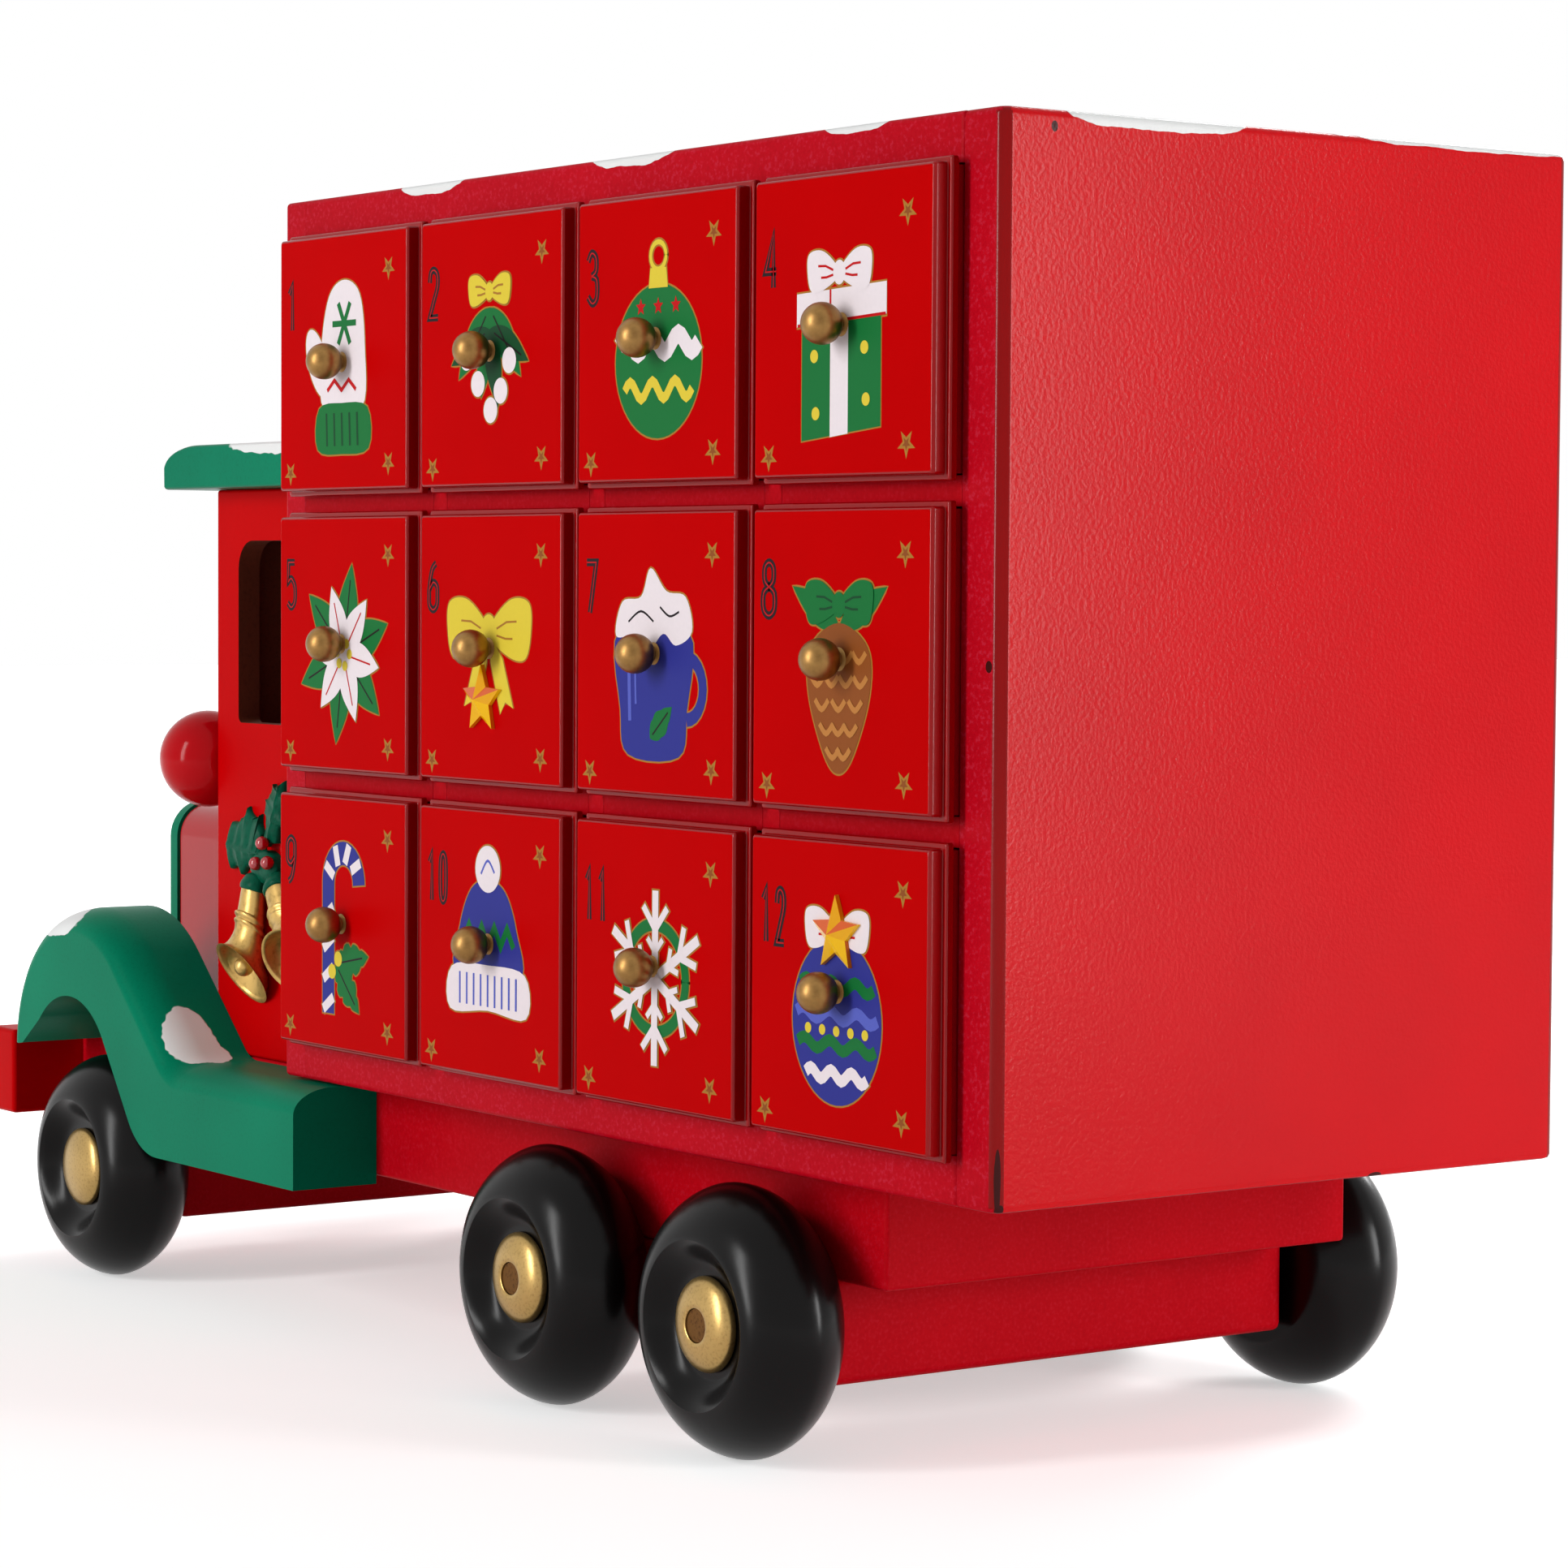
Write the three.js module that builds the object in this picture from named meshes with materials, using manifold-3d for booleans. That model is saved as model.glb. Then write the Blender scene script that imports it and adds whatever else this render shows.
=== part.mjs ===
// Truck advent calendar: a painted wooden toy lorry whose box body holds 24 pull-out drawers,
// twelve on each side, in an egg-crate of shelves and dividers.
// Millimetres. +X is the nose of the truck, +Y its left side, +Z up. The origin is on the
// ground, under the middle of the truck.
import * as THREE from "three";
import { mergeVertices } from "three/addons/utils/BufferGeometryUtils.js";
import Module from "manifold-3d";

const wasm = await Module();
wasm.setup();

// Clearances
const GLUE_LINE = 0.05; // between boards that are glued face to face
const TRAY_SIDE_GAP = 0.4; // each side of a tray in its cell
const TRAY_SLIDE_GAP = 0.3; // under a tray
const TRAY_BACK_GAP = 0.2; // from the back of a tray to the middle of the box
const AXLE_PLAY = 0.3; // round an axle in its bore
const LAP_PLAY = 0.1; // each side of a board in a half-lap slot

// Drawer grid
const COLUMNS = 4;
const ROWS = 3;
const CELL = 50.2; // clear width and height of one cell
const SHELF_THICK = 5; // shelves and dividers

// Box body
const BOX_WIDTH = 126.6;
const CASE_THICK = 8.4; // top, bottom and front end boards
const REAR_END_THICK = 9.9;
const REAR_CORNER_RADIUS = 2.2; // its upright corners are rounded over

// Drawer
const LIP_OVERLAP = 0.9; // how far a drawer front laps over the edge of its cell
const LIP_THICK = 1.7;
const FIELD_STEP = 1; // width of the step round the raised field
const FIELD_THICK = 2.7;
const FIELD_BEVEL = 0.5;
const FRONT_STANDOFF = 1.6; // the lip stands this far off the box side
const TRAY_WALL = 3;
const TRAY_FLOOR = 3;
const TRAY_HEADROOM = 5.9; // above the walls of the tray
const KNOB_RADIUS = 3.5;
const KNOB_REACH = 4; // ball centre in front of the field
const KNOB_NECK_RADIUS = 1.5;
const KNOB_SIDES = 10;
const KNOB_RINGS = 4;

// Chassis
const CHASSIS_WIDTH = 105.6;
const CHASSIS_THICK = 19.3;
const CHASSIS_AHEAD = 114; // in front of the box
const CHASSIS_REAR_INSET = 42.8; // from the rear of the box
const BLOCK_ABOVE_AXLE = 7.5;
const BLOCK_BELOW_AXLE = 11.6;
const BLOCK_PAST_AXLE = 9.8; // wood before and behind an axle
const FRONT_AXLE_SETBACK = 38.6; // from the front of the chassis
const REAR_AXLE_INSET = 26.5; // from the rear of the chassis
const REAR_AXLE_SPACING = 60.5;

// Wheels and axles
const WHEEL_RADIUS = 24.1;
const WHEEL_WIDTH = 20.6;
const WHEEL_SIDE_GAP = 1.5; // between wheel and chassis
const WHEEL_RIM_RADIUS = 14.9; // where the round tread meets the flat sides
const WHEEL_SHOULDER = 1.7; // exponent of the tread curve: 2 is an ellipse
const DISH_RADIUS = 9.4;
const DISH_DEPTH = 3.9;
const AXLE_RADIUS = 3.4;
const HUB_RADIUS = 8.4;
const HUB_EDGE_THICK = 0.6;
const HUB_DOME = 2.6;
const HUB_EYE_DEPTH = 0.5;
const WHEEL_SIDES = 28;
const AXLE_SIDES = 20;
const TREAD_STEPS = 8;

// Cab
const CAB_LENGTH = 49.2;
const CAB_HEIGHT = 120.3;
const CAB_BOARD = 5;
const WINDOW_WIDTH = 29.8;
const WINDOW_HEIGHT = 38.6;
const WINDOW_FRONT_MARGIN = 9.7;
const WINDOW_TOP_MARGIN = 10.9;
const WINDOW_TOP_CORNER = 6;
const WINDOW_FOOT_CORNER = 1.5;
const WINDSCREEN_SIDE_MARGIN = 9;
const ROOF_THICK = 9.3;
const ROOF_SIDE_OVERHANG = 6.5;
const ROOF_FRONT_OVERHANG = 12.5;
const ROOF_NOSE_LENGTH = 17;
const ROOF_NOSE_FOOT = 1.6; // upright edge left under the rounded nose

// Hood and nose
const HOOD_WIDTH = 61.6;
const HOOD_HEIGHT = 49.8;
const HOOD_CORNER = 7.5;
const GRILLE_THICK = 3.8;
const GRILLE_SETBACK = 1.4; // from the front of the chassis
const GRILLE_PROUD = 0.5;
const LAMP_RADIUS = 10.4;
const LAMP_HEIGHT = 62.4; // above the chassis
const LAMP_INSET = 3.1; // from the side of the cab
const LAMP_FLAT = 0.6; // depth of the flat that is glued to the cab
const BUMPER_THICK = 12;
const BUMPER_LENGTH = 139.6;
const BUMPER_HEIGHT = 18.9;

// Fenders
const FENDER_THICK = 19.2;
const FENDER_WHEEL_ROOM = 1.2; // least gap to the wheel
const FENDER_ARCH_RADIUS = 20.2;
const FENDER_ARCH_FORWARD = 6; // arch centre in front of the axle
const FENDER_ARCH_SLOPE = 53.4; // degrees, underside behind the wheel
const FENDER_TIP_ANGLE = 44; // degrees, where the arch runs out to the tip
const FENDER_TIP_RUN = 7.3; // flat foot of the tip
const FENDER_CREST_RADIUS = 32.5;
const FENDER_CREST_FORWARD = 4;
const FENDER_CREST_THICK = 19.3;
const FENDER_TOP_SLOPE = 42.3; // degrees
const FENDER_FOOT_RADIUS = 16;
const FENDER_HOLLOW_RADIUS = 8;
const FENDER_TAIL_DROP = 1.6; // below the chassis
const FENDER_TAIL_GAP = 0.6; // under the box
const FENDER_TAIL_LENGTH = 19.1; // under the box
const FENDER_ROUND_WIDTH = 9; // rounded outer top edge, measured across
const FENDER_ROUND_DROP = 5.2; // and downwards

// Ornament on the side of the cab: two bells under holly leaves and berries
const KNOT_AHEAD = 22.4; // of the box
const KNOT_HEIGHT = 42.5; // above the chassis
const KNOT_LENGTH = 11.2;
const KNOT_DEPTH = 6.8;
const KNOT_THICK = 2.8;
const BELL_LENGTH = 19.5; // from the crown to the middle of the mouth
const BELL_CROWN_RADIUS = 3;
const BELL_WAIST_RADIUS = 3.7;
const BELL_MOUTH_RADIUS = 7.8;
const BELL_FLARE_START = 0.45; // share of the length down to where the flare starts
const BELL_FLARE_POWER = 1.6; // how late the flare opens
const BELL_STATIONS = [0.04, 0.3, 0.6, 0.8, 0.92, 1]; // shares of the length that have a ring
const BELL_CROWN_TILT = 12; // degrees that a bell turns out from the cab, at its crown
const BELL_MOUTH_TILT = 55.5; // and at its mouth
const BELL_RELIEF = 0.75; // depth of the crown as a share of its width
const BELL_LIP = 0.9; // wall at the mouth
const BELL_HOLLOW = 3.6; // depth of the hollow in the mouth
const BELL_SIDES = 12;
const BELL_STANDOFF = 0.1; // back of a bell from the flat back
const BELL_DROP = 4.7; // crown below the knot
const FORE_BELL_AHEAD = 3.8; // crown from the knot
const FORE_BELL_LEAN = 4; // degrees from upright
const AFT_BELL_AHEAD = -3.3;
const AFT_BELL_LEAN = -28;
const CLAPPER_RADIUS = 2.1;
const LEAF_LENGTH = 19.5;
const LEAF_WIDTH = 14.5;
const LEAF_THICK = 1.8;
const LEAF_STEP = 0.35; // the hind leaf lies this much lower
const LEAF_ANGLES = [12, 110]; // degrees from straight ahead
const BERRY_RADIUS = 1.4;
const BERRY_RING = 2.8; // berry centres from the middle of the three
const BERRY_RISE = 1.4; // the middle of the three above the knot
const BERRY_COUNT = 3;

// Star gems
const GEM_RADIUS = 6.6;
const GEM_WAIST = 0.45; // inner radius of the star as a share of the outer
const GEM_EDGE = 0.8;
const GEM_PEAK = 2.6;
const GEM_FROM_KNOB = 9.6; // centre of the gem above or below the knob

// Places worked out from the sizes, with x = 0 on the front of the box
const PITCH = CELL + SHELF_THICK;
const GRID_LENGTH = COLUMNS * PITCH - SHELF_THICK;
const GRID_HEIGHT = ROWS * PITCH - SHELF_THICK;
const BOX_LENGTH = GRID_LENGTH + CASE_THICK + REAR_END_THICK;
const BOX_HEIGHT = GRID_HEIGHT + 2 * CASE_THICK;
const HALF_BOX = BOX_WIDTH / 2;
const GRID_REAR = -CASE_THICK - GRID_LENGTH;

const AXLE_Z = WHEEL_RADIUS;
const CHASSIS_BOTTOM = AXLE_Z + BLOCK_ABOVE_AXLE;
const CHASSIS_TOP = CHASSIS_BOTTOM + CHASSIS_THICK;
const BOX_BOTTOM = CHASSIS_TOP + GLUE_LINE;
const GRID_BOTTOM = BOX_BOTTOM + CASE_THICK;
const HALF_CHASSIS = CHASSIS_WIDTH / 2;
const CHASSIS_REAR = -BOX_LENGTH + CHASSIS_REAR_INSET;
const FRONT_AXLE_X = CHASSIS_AHEAD - FRONT_AXLE_SETBACK;
const REAR_AXLE_X = CHASSIS_REAR + REAR_AXLE_INSET;
const MIDDLE_AXLE_X = REAR_AXLE_X + REAR_AXLE_SPACING;
const WHEEL_Y = HALF_CHASSIS + WHEEL_SIDE_GAP + WHEEL_WIDTH / 2;

const CAB_BOTTOM = CHASSIS_TOP + GLUE_LINE;
const CAB_TOP = CAB_BOTTOM + CAB_HEIGHT;
const BUMPER_FRONT = CHASSIS_AHEAD + GLUE_LINE + BUMPER_THICK;
const TRUCK_MIDDLE = (BUMPER_FRONT - BOX_LENGTH) / 2;

const FRONT_SIZE = CELL + 2 * LIP_OVERLAP;
const FIELD_SIZE = FRONT_SIZE - 2 * FIELD_STEP;
const LIP_BACK = HALF_BOX + FRONT_STANDOFF;
const FIELD_BACK = LIP_BACK + LIP_THICK;
const FIELD_FACE = FIELD_BACK + FIELD_THICK;

// Colours of the paints and woods
const RED = 0xc00008;
const CRIMSON = 0xb8001e;
const GREEN = 0x00805c;
const BLACK = 0x0d0c0b;
const GOLD = 0xc9a24f;
const BRASS = 0x8a6a3a;
const PLYWOOD = 0xb98f5e;
const AMBER = 0xe8a418;

function paint(color, roughness, metalness = 0) {
  return new THREE.MeshStandardMaterial({ color, roughness, metalness });
}

const truck = new THREE.Group();
truck.position.x = -TRUCK_MIDDLE;

// Adds one named piece to the truck
function addPiece(name, geometry, material, parent = truck) {
  const mesh = new THREE.Mesh(geometry, material);
  mesh.name = name;
  parent.add(mesh);
  return mesh;
}

// A board between two corners
function board(low, high) {
  const size = high.map((value, axis) => value - low[axis]);
  const geometry = new THREE.BoxGeometry(...size);
  geometry.translate(low[0] + size[0] / 2, low[1] + size[1] / 2, low[2] + size[2] / 2);
  return geometry;
}

// A flat outline in x and z, extruded in y from yLow to yHigh
function sawnInSideView(shape, yLow, yHigh, curveSegments = 8) {
  const options = { depth: yHigh - yLow, bevelEnabled: false, curveSegments };
  const geometry = new THREE.ExtrudeGeometry(shape, options);
  geometry.rotateX(Math.PI / 2);
  geometry.translate(0, yHigh, 0);
  return geometry;
}

// A flat outline in y and z, extruded in x from xLow to xHigh
function sawnInFrontView(shape, xLow, xHigh, curveSegments = 6) {
  const options = { depth: xHigh - xLow, bevelEnabled: false, curveSegments };
  const geometry = new THREE.ExtrudeGeometry(shape, options);
  geometry.rotateX(Math.PI / 2);
  geometry.rotateZ(Math.PI / 2);
  geometry.translate(xLow, 0, 0);
  return geometry;
}

// A flat outline in x and y, extruded in z from zLow to zHigh
function sawnInPlan(shape, zLow, zHigh, curveSegments = 4) {
  const options = { depth: zHigh - zLow, bevelEnabled: false, curveSegments };
  return new THREE.ExtrudeGeometry(shape, options).translate(0, 0, zLow);
}

// Turned piece: a closed profile of [radius, y] pairs revolved about the y axis
function turned(profile, sides) {
  const points = profile.map(([radius, y]) => new THREE.Vector2(radius, y));
  return new THREE.LatheGeometry(points, sides);
}

// Booleans: to a manifold solid and back
function toSolid(geometry) {
  const bare = geometry.clone();
  bare.deleteAttribute("normal");
  bare.deleteAttribute("uv");
  const merged = mergeVertices(bare, 1e-4);
  const mesh = new wasm.Mesh({
    numProp: 3,
    vertProperties: new Float32Array(merged.attributes.position.array),
    triVerts: new Uint32Array(merged.index.array),
  });
  return new wasm.Manifold(mesh);
}

function toGeometry(solid) {
  const mesh = solid.getMesh();
  const geometry = new THREE.BufferGeometry();
  geometry.setAttribute("position", new THREE.BufferAttribute(mesh.vertProperties, 3));
  geometry.setIndex(new THREE.BufferAttribute(mesh.triVerts, 1));
  geometry.computeVertexNormals();
  return geometry;
}

// Rear end board from above, rounded over at its two outer corners
function rearEndOutline() {
  const radius = REAR_CORNER_RADIUS;
  const shape = new THREE.Shape();
  shape.moveTo(GRID_REAR - GLUE_LINE, HALF_BOX);
  shape.lineTo(radius - BOX_LENGTH, HALF_BOX);
  shape.absarc(radius - BOX_LENGTH, HALF_BOX - radius, radius, Math.PI / 2, Math.PI, false);
  shape.absarc(radius - BOX_LENGTH, radius - HALF_BOX, radius, Math.PI, 1.5 * Math.PI, false);
  shape.lineTo(GRID_REAR - GLUE_LINE, -HALF_BOX);
  shape.closePath();
  return shape;
}

// Box body: the end boards run full height, the top and bottom boards butt between them
function addBox() {
  const red = () => paint(CRIMSON, 0.45);
  const top = BOX_BOTTOM + BOX_HEIGHT;
  const frontEndLow = [-CASE_THICK + GLUE_LINE, -HALF_BOX, BOX_BOTTOM];
  addPiece("box_front_end", board(frontEndLow, [0, HALF_BOX, top]), red());
  addPiece("box_rear_end", sawnInPlan(rearEndOutline(), BOX_BOTTOM, top), red());
  const bottomLow = [GRID_REAR, -HALF_BOX, BOX_BOTTOM];
  addPiece("box_bottom", board(bottomLow, [-CASE_THICK, HALF_BOX, GRID_BOTTOM]), red());
  const topLow = [GRID_REAR, -HALF_BOX, GRID_BOTTOM + GRID_HEIGHT];
  addPiece("box_top", board(topLow, [-CASE_THICK, HALF_BOX, top]), red());
}

// Egg-crate: shelves are slotted from the left, dividers from the right, and half-lap
function slottedOutline(length, slotCentres) {
  const half = HALF_BOX;
  const slotHalf = SHELF_THICK / 2 + LAP_PLAY;
  const shape = new THREE.Shape();
  shape.moveTo(GLUE_LINE, -half);
  shape.lineTo(length - GLUE_LINE, -half);
  shape.lineTo(length - GLUE_LINE, half);
  for (const centre of [...slotCentres].reverse()) {
    shape.lineTo(centre + slotHalf, half);
    shape.lineTo(centre + slotHalf, -LAP_PLAY);
    shape.lineTo(centre - slotHalf, -LAP_PLAY);
    shape.lineTo(centre - slotHalf, half);
  }
  shape.lineTo(GLUE_LINE, half);
  shape.closePath();
  return shape;
}

function boardCentres(count) {
  return Array.from({ length: count - 1 }, (_, i) => (i + 1) * PITCH - SHELF_THICK / 2);
}

function addEggCrate() {
  const flat = { depth: SHELF_THICK, bevelEnabled: false };
  const shelf = new THREE.ExtrudeGeometry(slottedOutline(GRID_LENGTH, boardCentres(COLUMNS)), flat);
  const shelfNames = ["shelf_lower", "shelf_upper"];
  boardCentres(ROWS).forEach((height, i) => {
    const mesh = addPiece(shelfNames[i] ?? `shelf_${i}`, shelf, paint(CRIMSON, 0.5));
    mesh.position.set(GRID_REAR, 0, GRID_BOTTOM + height - SHELF_THICK / 2);
  });
  const divider = new THREE.ExtrudeGeometry(slottedOutline(GRID_HEIGHT, boardCentres(ROWS)), flat);
  divider.rotateZ(Math.PI);
  divider.rotateY(Math.PI / 2);
  const dividerNames = ["divider_rear", "divider_middle", "divider_front"];
  boardCentres(COLUMNS).forEach((distance, i) => {
    const mesh = addPiece(dividerNames[i] ?? `divider_${i}`, divider, paint(CRIMSON, 0.5));
    mesh.position.set(GRID_REAR + distance - SHELF_THICK / 2, 0, GRID_BOTTOM);
  });
}

// Knob: neck and ball turned in one, along +Y from the field of the drawer front
function knobProfile() {
  const profile = [[0, -FIELD_THICK / 2], [KNOB_NECK_RADIUS, -FIELD_THICK / 2]];
  const neckAngle = Math.asin(KNOB_NECK_RADIUS / KNOB_RADIUS);
  for (let i = 0; i <= KNOB_RINGS; i += 1) {
    const angle = neckAngle + ((Math.PI - neckAngle) * i) / KNOB_RINGS;
    const radius = i === KNOB_RINGS ? 0 : KNOB_RADIUS * Math.sin(angle);
    profile.push([radius, KNOB_REACH - KNOB_RADIUS * Math.cos(angle)]);
  }
  return profile;
}

// Raised field of a drawer front: a square block whose front edges are eased
function fieldBlock() {
  const half = FIELD_SIZE / 2 - FIELD_BEVEL;
  const shape = new THREE.Shape();
  shape.moveTo(-half, -half);
  shape.lineTo(half, -half);
  shape.lineTo(half, half);
  shape.lineTo(-half, half);
  shape.closePath();
  const geometry = new THREE.ExtrudeGeometry(shape, {
    depth: FIELD_THICK,
    bevelThickness: FIELD_BEVEL,
    bevelSize: FIELD_BEVEL,
    bevelOffset: 0,
    bevelSegments: 1,
  });
  geometry.rotateX(-Math.PI / 2);
  geometry.translate(0, FIELD_FACE - FIELD_THICK - FIELD_BEVEL, 0);
  return geometry;
}

// One drawer for the left side, centred on its cell in x and z
function drawerGeometry() {
  const halfFront = FRONT_SIZE / 2;
  const halfTray = CELL / 2 - TRAY_SIDE_GAP;
  const trayLow = -CELL / 2 + TRAY_SLIDE_GAP;
  const trayHigh = CELL / 2 - TRAY_HEADROOM;
  const well = [
    [-halfTray + TRAY_WALL, TRAY_BACK_GAP + TRAY_WALL, trayLow + TRAY_FLOOR],
    [halfTray - TRAY_WALL, LIP_BACK - TRAY_WALL, CELL],
  ];
  const tray = toSolid(board([-halfTray, TRAY_BACK_GAP, trayLow], [halfTray, FIELD_BACK, trayHigh]));
  const lip = toSolid(board([-halfFront, LIP_BACK, -halfFront], [halfFront, FIELD_BACK, halfFront]));
  const knobGeometry = turned(knobProfile(), KNOB_SIDES);
  knobGeometry.translate(0, FIELD_FACE, 0);
  const field = toSolid(fieldBlock()).subtract(
    toSolid(board([-CELL, 0, -CELL], [CELL, FIELD_BACK - FIELD_BEVEL / 2, CELL])),
  );
  const solid = tray.subtract(toSolid(board(...well))).add(lip).add(field).add(toSolid(knobGeometry));
  return colourDrawer(toGeometry(solid));
}

// Brass knob, red front, bare plywood tray, told apart by how far out a face lies
function colourDrawer(geometry) {
  const faces = geometry.toNonIndexed();
  const position = faces.attributes.position;
  const colours = new Float32Array(position.count * 3);
  for (let i = 0; i < position.count; i += 3) {
    const depth = (position.getY(i) + position.getY(i + 1) + position.getY(i + 2)) / 3;
    let hex = RED;
    if (depth > FIELD_FACE) hex = BRASS;
    if (depth < LIP_BACK) hex = PLYWOOD;
    const colour = new THREE.Color(hex);
    for (let corner = 0; corner < 3; corner += 1) colour.toArray(colours, (i + corner) * 3);
  }
  faces.setAttribute("color", new THREE.BufferAttribute(colours, 3));
  faces.computeVertexNormals();
  return faces;
}

// Centre of a cell; row 0 is the top row and column 0 the front column
function cellCentre(column, row) {
  const x = -CASE_THICK - CELL / 2 - column * PITCH;
  const z = GRID_BOTTOM + GRID_HEIGHT - CELL / 2 - row * PITCH;
  return [x, z];
}

// Drawers 1 to 12 face left and 13 to 24 right; each side is numbered as it is read
function addDrawers() {
  const geometry = drawerGeometry();
  const perSide = COLUMNS * ROWS;
  for (let index = 0; index < 2 * perSide; index += 1) {
    const onRight = index >= perSide;
    const place = index % perSide;
    const read = place % COLUMNS;
    const column = onRight ? COLUMNS - 1 - read : read;
    const [x, z] = cellCentre(column, Math.floor(place / COLUMNS));
    const material = paint(0xffffff, 0.35);
    material.vertexColors = true;
    const number = String(index + 1).padStart(2, "0");
    const mesh = addPiece(`drawer_${number}`, geometry, material);
    mesh.position.set(x, 0, z);
    if (onRight) mesh.rotation.z = Math.PI;
  }
}

// Star gem: a five-pointed faceted pyramid glued on the field of a drawer
function gemGeometry() {
  const rim = [];
  for (let i = 0; i < 10; i += 1) {
    const angle = (i * Math.PI) / 5;
    const radius = i % 2 === 0 ? GEM_RADIUS : GEM_RADIUS * GEM_WAIST;
    rim.push([radius * Math.sin(angle), radius * Math.cos(angle)]);
  }
  const positions = [0, 0, 0, 0, GEM_PEAK, 0];
  for (const [x, z] of rim) positions.push(x, 0, z);
  for (const [x, z] of rim) positions.push(x, GEM_EDGE, z);
  const index = [];
  for (let i = 0; i < 10; i += 1) {
    const low = 2 + i;
    const lowNext = 2 + ((i + 1) % 10);
    const high = low + 10;
    const highNext = lowNext + 10;
    index.push(0, lowNext, low);
    index.push(low, lowNext, highNext, low, highNext, high);
    index.push(1, high, highNext);
  }
  const geometry = new THREE.BufferGeometry();
  geometry.setAttribute("position", new THREE.Float32BufferAttribute(positions, 3));
  geometry.setIndex(index);
  geometry.computeVertexNormals();
  return geometry;
}

function addGems() {
  const stars = [
    { name: "gem_star_06", column: 1, row: 1, side: -1, shift: 1.6 },
    { name: "gem_star_12", column: 3, row: 2, side: 1, shift: -0.4 },
  ];
  for (const star of stars) {
    const [x, z] = cellCentre(star.column, star.row);
    const gem = addPiece(star.name, gemGeometry(), paint(AMBER, 0.08));
    gem.position.set(x + star.shift, FIELD_FACE + GLUE_LINE, z + star.side * GEM_FROM_KNOB);
  }
}

// Chassis plank and the two axle blocks under it
function axleBlock(rearAxleX, frontAxleX) {
  const low = [rearAxleX - BLOCK_PAST_AXLE, -HALF_CHASSIS, AXLE_Z - BLOCK_BELOW_AXLE];
  const high = [frontAxleX + BLOCK_PAST_AXLE, HALF_CHASSIS, CHASSIS_BOTTOM - GLUE_LINE];
  let block = toSolid(board(low, high));
  for (const axleX of new Set([rearAxleX, frontAxleX])) {
    const reach = HALF_CHASSIS + WHEEL_SIDE_GAP;
    const bore = new THREE.CylinderGeometry(
      AXLE_RADIUS + AXLE_PLAY, AXLE_RADIUS + AXLE_PLAY, 2 * reach, WHEEL_SIDES);
    bore.translate(axleX, 0, AXLE_Z);
    block = block.subtract(toSolid(bore));
  }
  return toGeometry(block);
}

function addChassis() {
  const low = [CHASSIS_REAR, -HALF_CHASSIS, CHASSIS_BOTTOM];
  const high = [CHASSIS_AHEAD, HALF_CHASSIS, CHASSIS_TOP];
  addPiece("chassis_plank", board(low, high), paint(CRIMSON, 0.45));
  addPiece("front_axle_block", axleBlock(FRONT_AXLE_X, FRONT_AXLE_X), paint(CRIMSON, 0.45));
  addPiece("rear_axle_block", axleBlock(REAR_AXLE_X, MIDDLE_AXLE_X), paint(CRIMSON, 0.45));
}

// Wheel: turned wood with a fat round tread, a dished outer face and a bore for the axle
function wheelGeometry() {
  const half = WHEEL_WIDTH / 2;
  const bore = AXLE_RADIUS + GLUE_LINE;
  const tread = WHEEL_RADIUS - WHEEL_RIM_RADIUS;
  const power = 2 / WHEEL_SHOULDER;
  const profile = [[bore, -half]];
  for (let i = 0; i <= TREAD_STEPS; i += 1) {
    const angle = -Math.PI / 2 + (Math.PI * i) / TREAD_STEPS;
    const across = Math.sign(angle) * half * Math.abs(Math.sin(angle)) ** power;
    const edge = i === 0 || i === TREAD_STEPS;
    const out = edge ? 0 : tread * Math.cos(angle) ** power;
    profile.push([WHEEL_RIM_RADIUS + out, across]);
  }
  profile.push([DISH_RADIUS, half - DISH_DEPTH]);
  profile.push([bore, half - DISH_DEPTH]);
  profile.push([bore, -half]);
  return turned(profile, WHEEL_SIDES);
}

// Axle: a dowel with a domed hub glued on each end; an open hub leaves the dowel end bare
function axleGeometry(openHub) {
  const floor = WHEEL_Y + WHEEL_WIDTH / 2 - DISH_DEPTH + GLUE_LINE;
  const rim = floor + HUB_EDGE_THICK;
  const half = [[AXLE_RADIUS, floor], [HUB_RADIUS, floor], [HUB_RADIUS, rim]];
  half.push([HUB_RADIUS * 0.78, rim + HUB_DOME * 0.62]);
  if (openHub) {
    half.push([AXLE_RADIUS, rim + HUB_DOME * 0.92]);
    half.push([AXLE_RADIUS * 0.9, rim + HUB_DOME * 0.92 - HUB_EYE_DEPTH]);
    half.push([0, rim + HUB_DOME * 0.92 - HUB_EYE_DEPTH]);
  } else {
    half.push([HUB_RADIUS * 0.45, rim + HUB_DOME * 0.9]);
    half.push([0, rim + HUB_DOME]);
  }
  const far = [...half].reverse().map(([radius, y]) => [radius, -y]);
  return turned([...far, ...half], AXLE_SIDES);
}

function addWheels() {
  const wheel = wheelGeometry();
  const axles = [
    { name: "front", x: FRONT_AXLE_X, openHub: false },
    { name: "middle", x: MIDDLE_AXLE_X, openHub: true },
    { name: "rear", x: REAR_AXLE_X, openHub: true },
  ];
  for (const axle of axles) {
    const dowel = addPiece(`axle_${axle.name}`, axleGeometry(axle.openHub), paint(GOLD, 0.4, 0.6));
    dowel.position.set(axle.x, 0, AXLE_Z);
    const left = addPiece(`wheel_${axle.name}_left`, wheel, paint(BLACK, 0.2));
    left.position.set(axle.x, WHEEL_Y, AXLE_Z);
    const right = addPiece(`wheel_${axle.name}_right`, wheel, paint(BLACK, 0.2));
    right.position.set(axle.x, -WHEEL_Y, AXLE_Z);
    right.rotation.z = Math.PI;
  }
}

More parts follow.
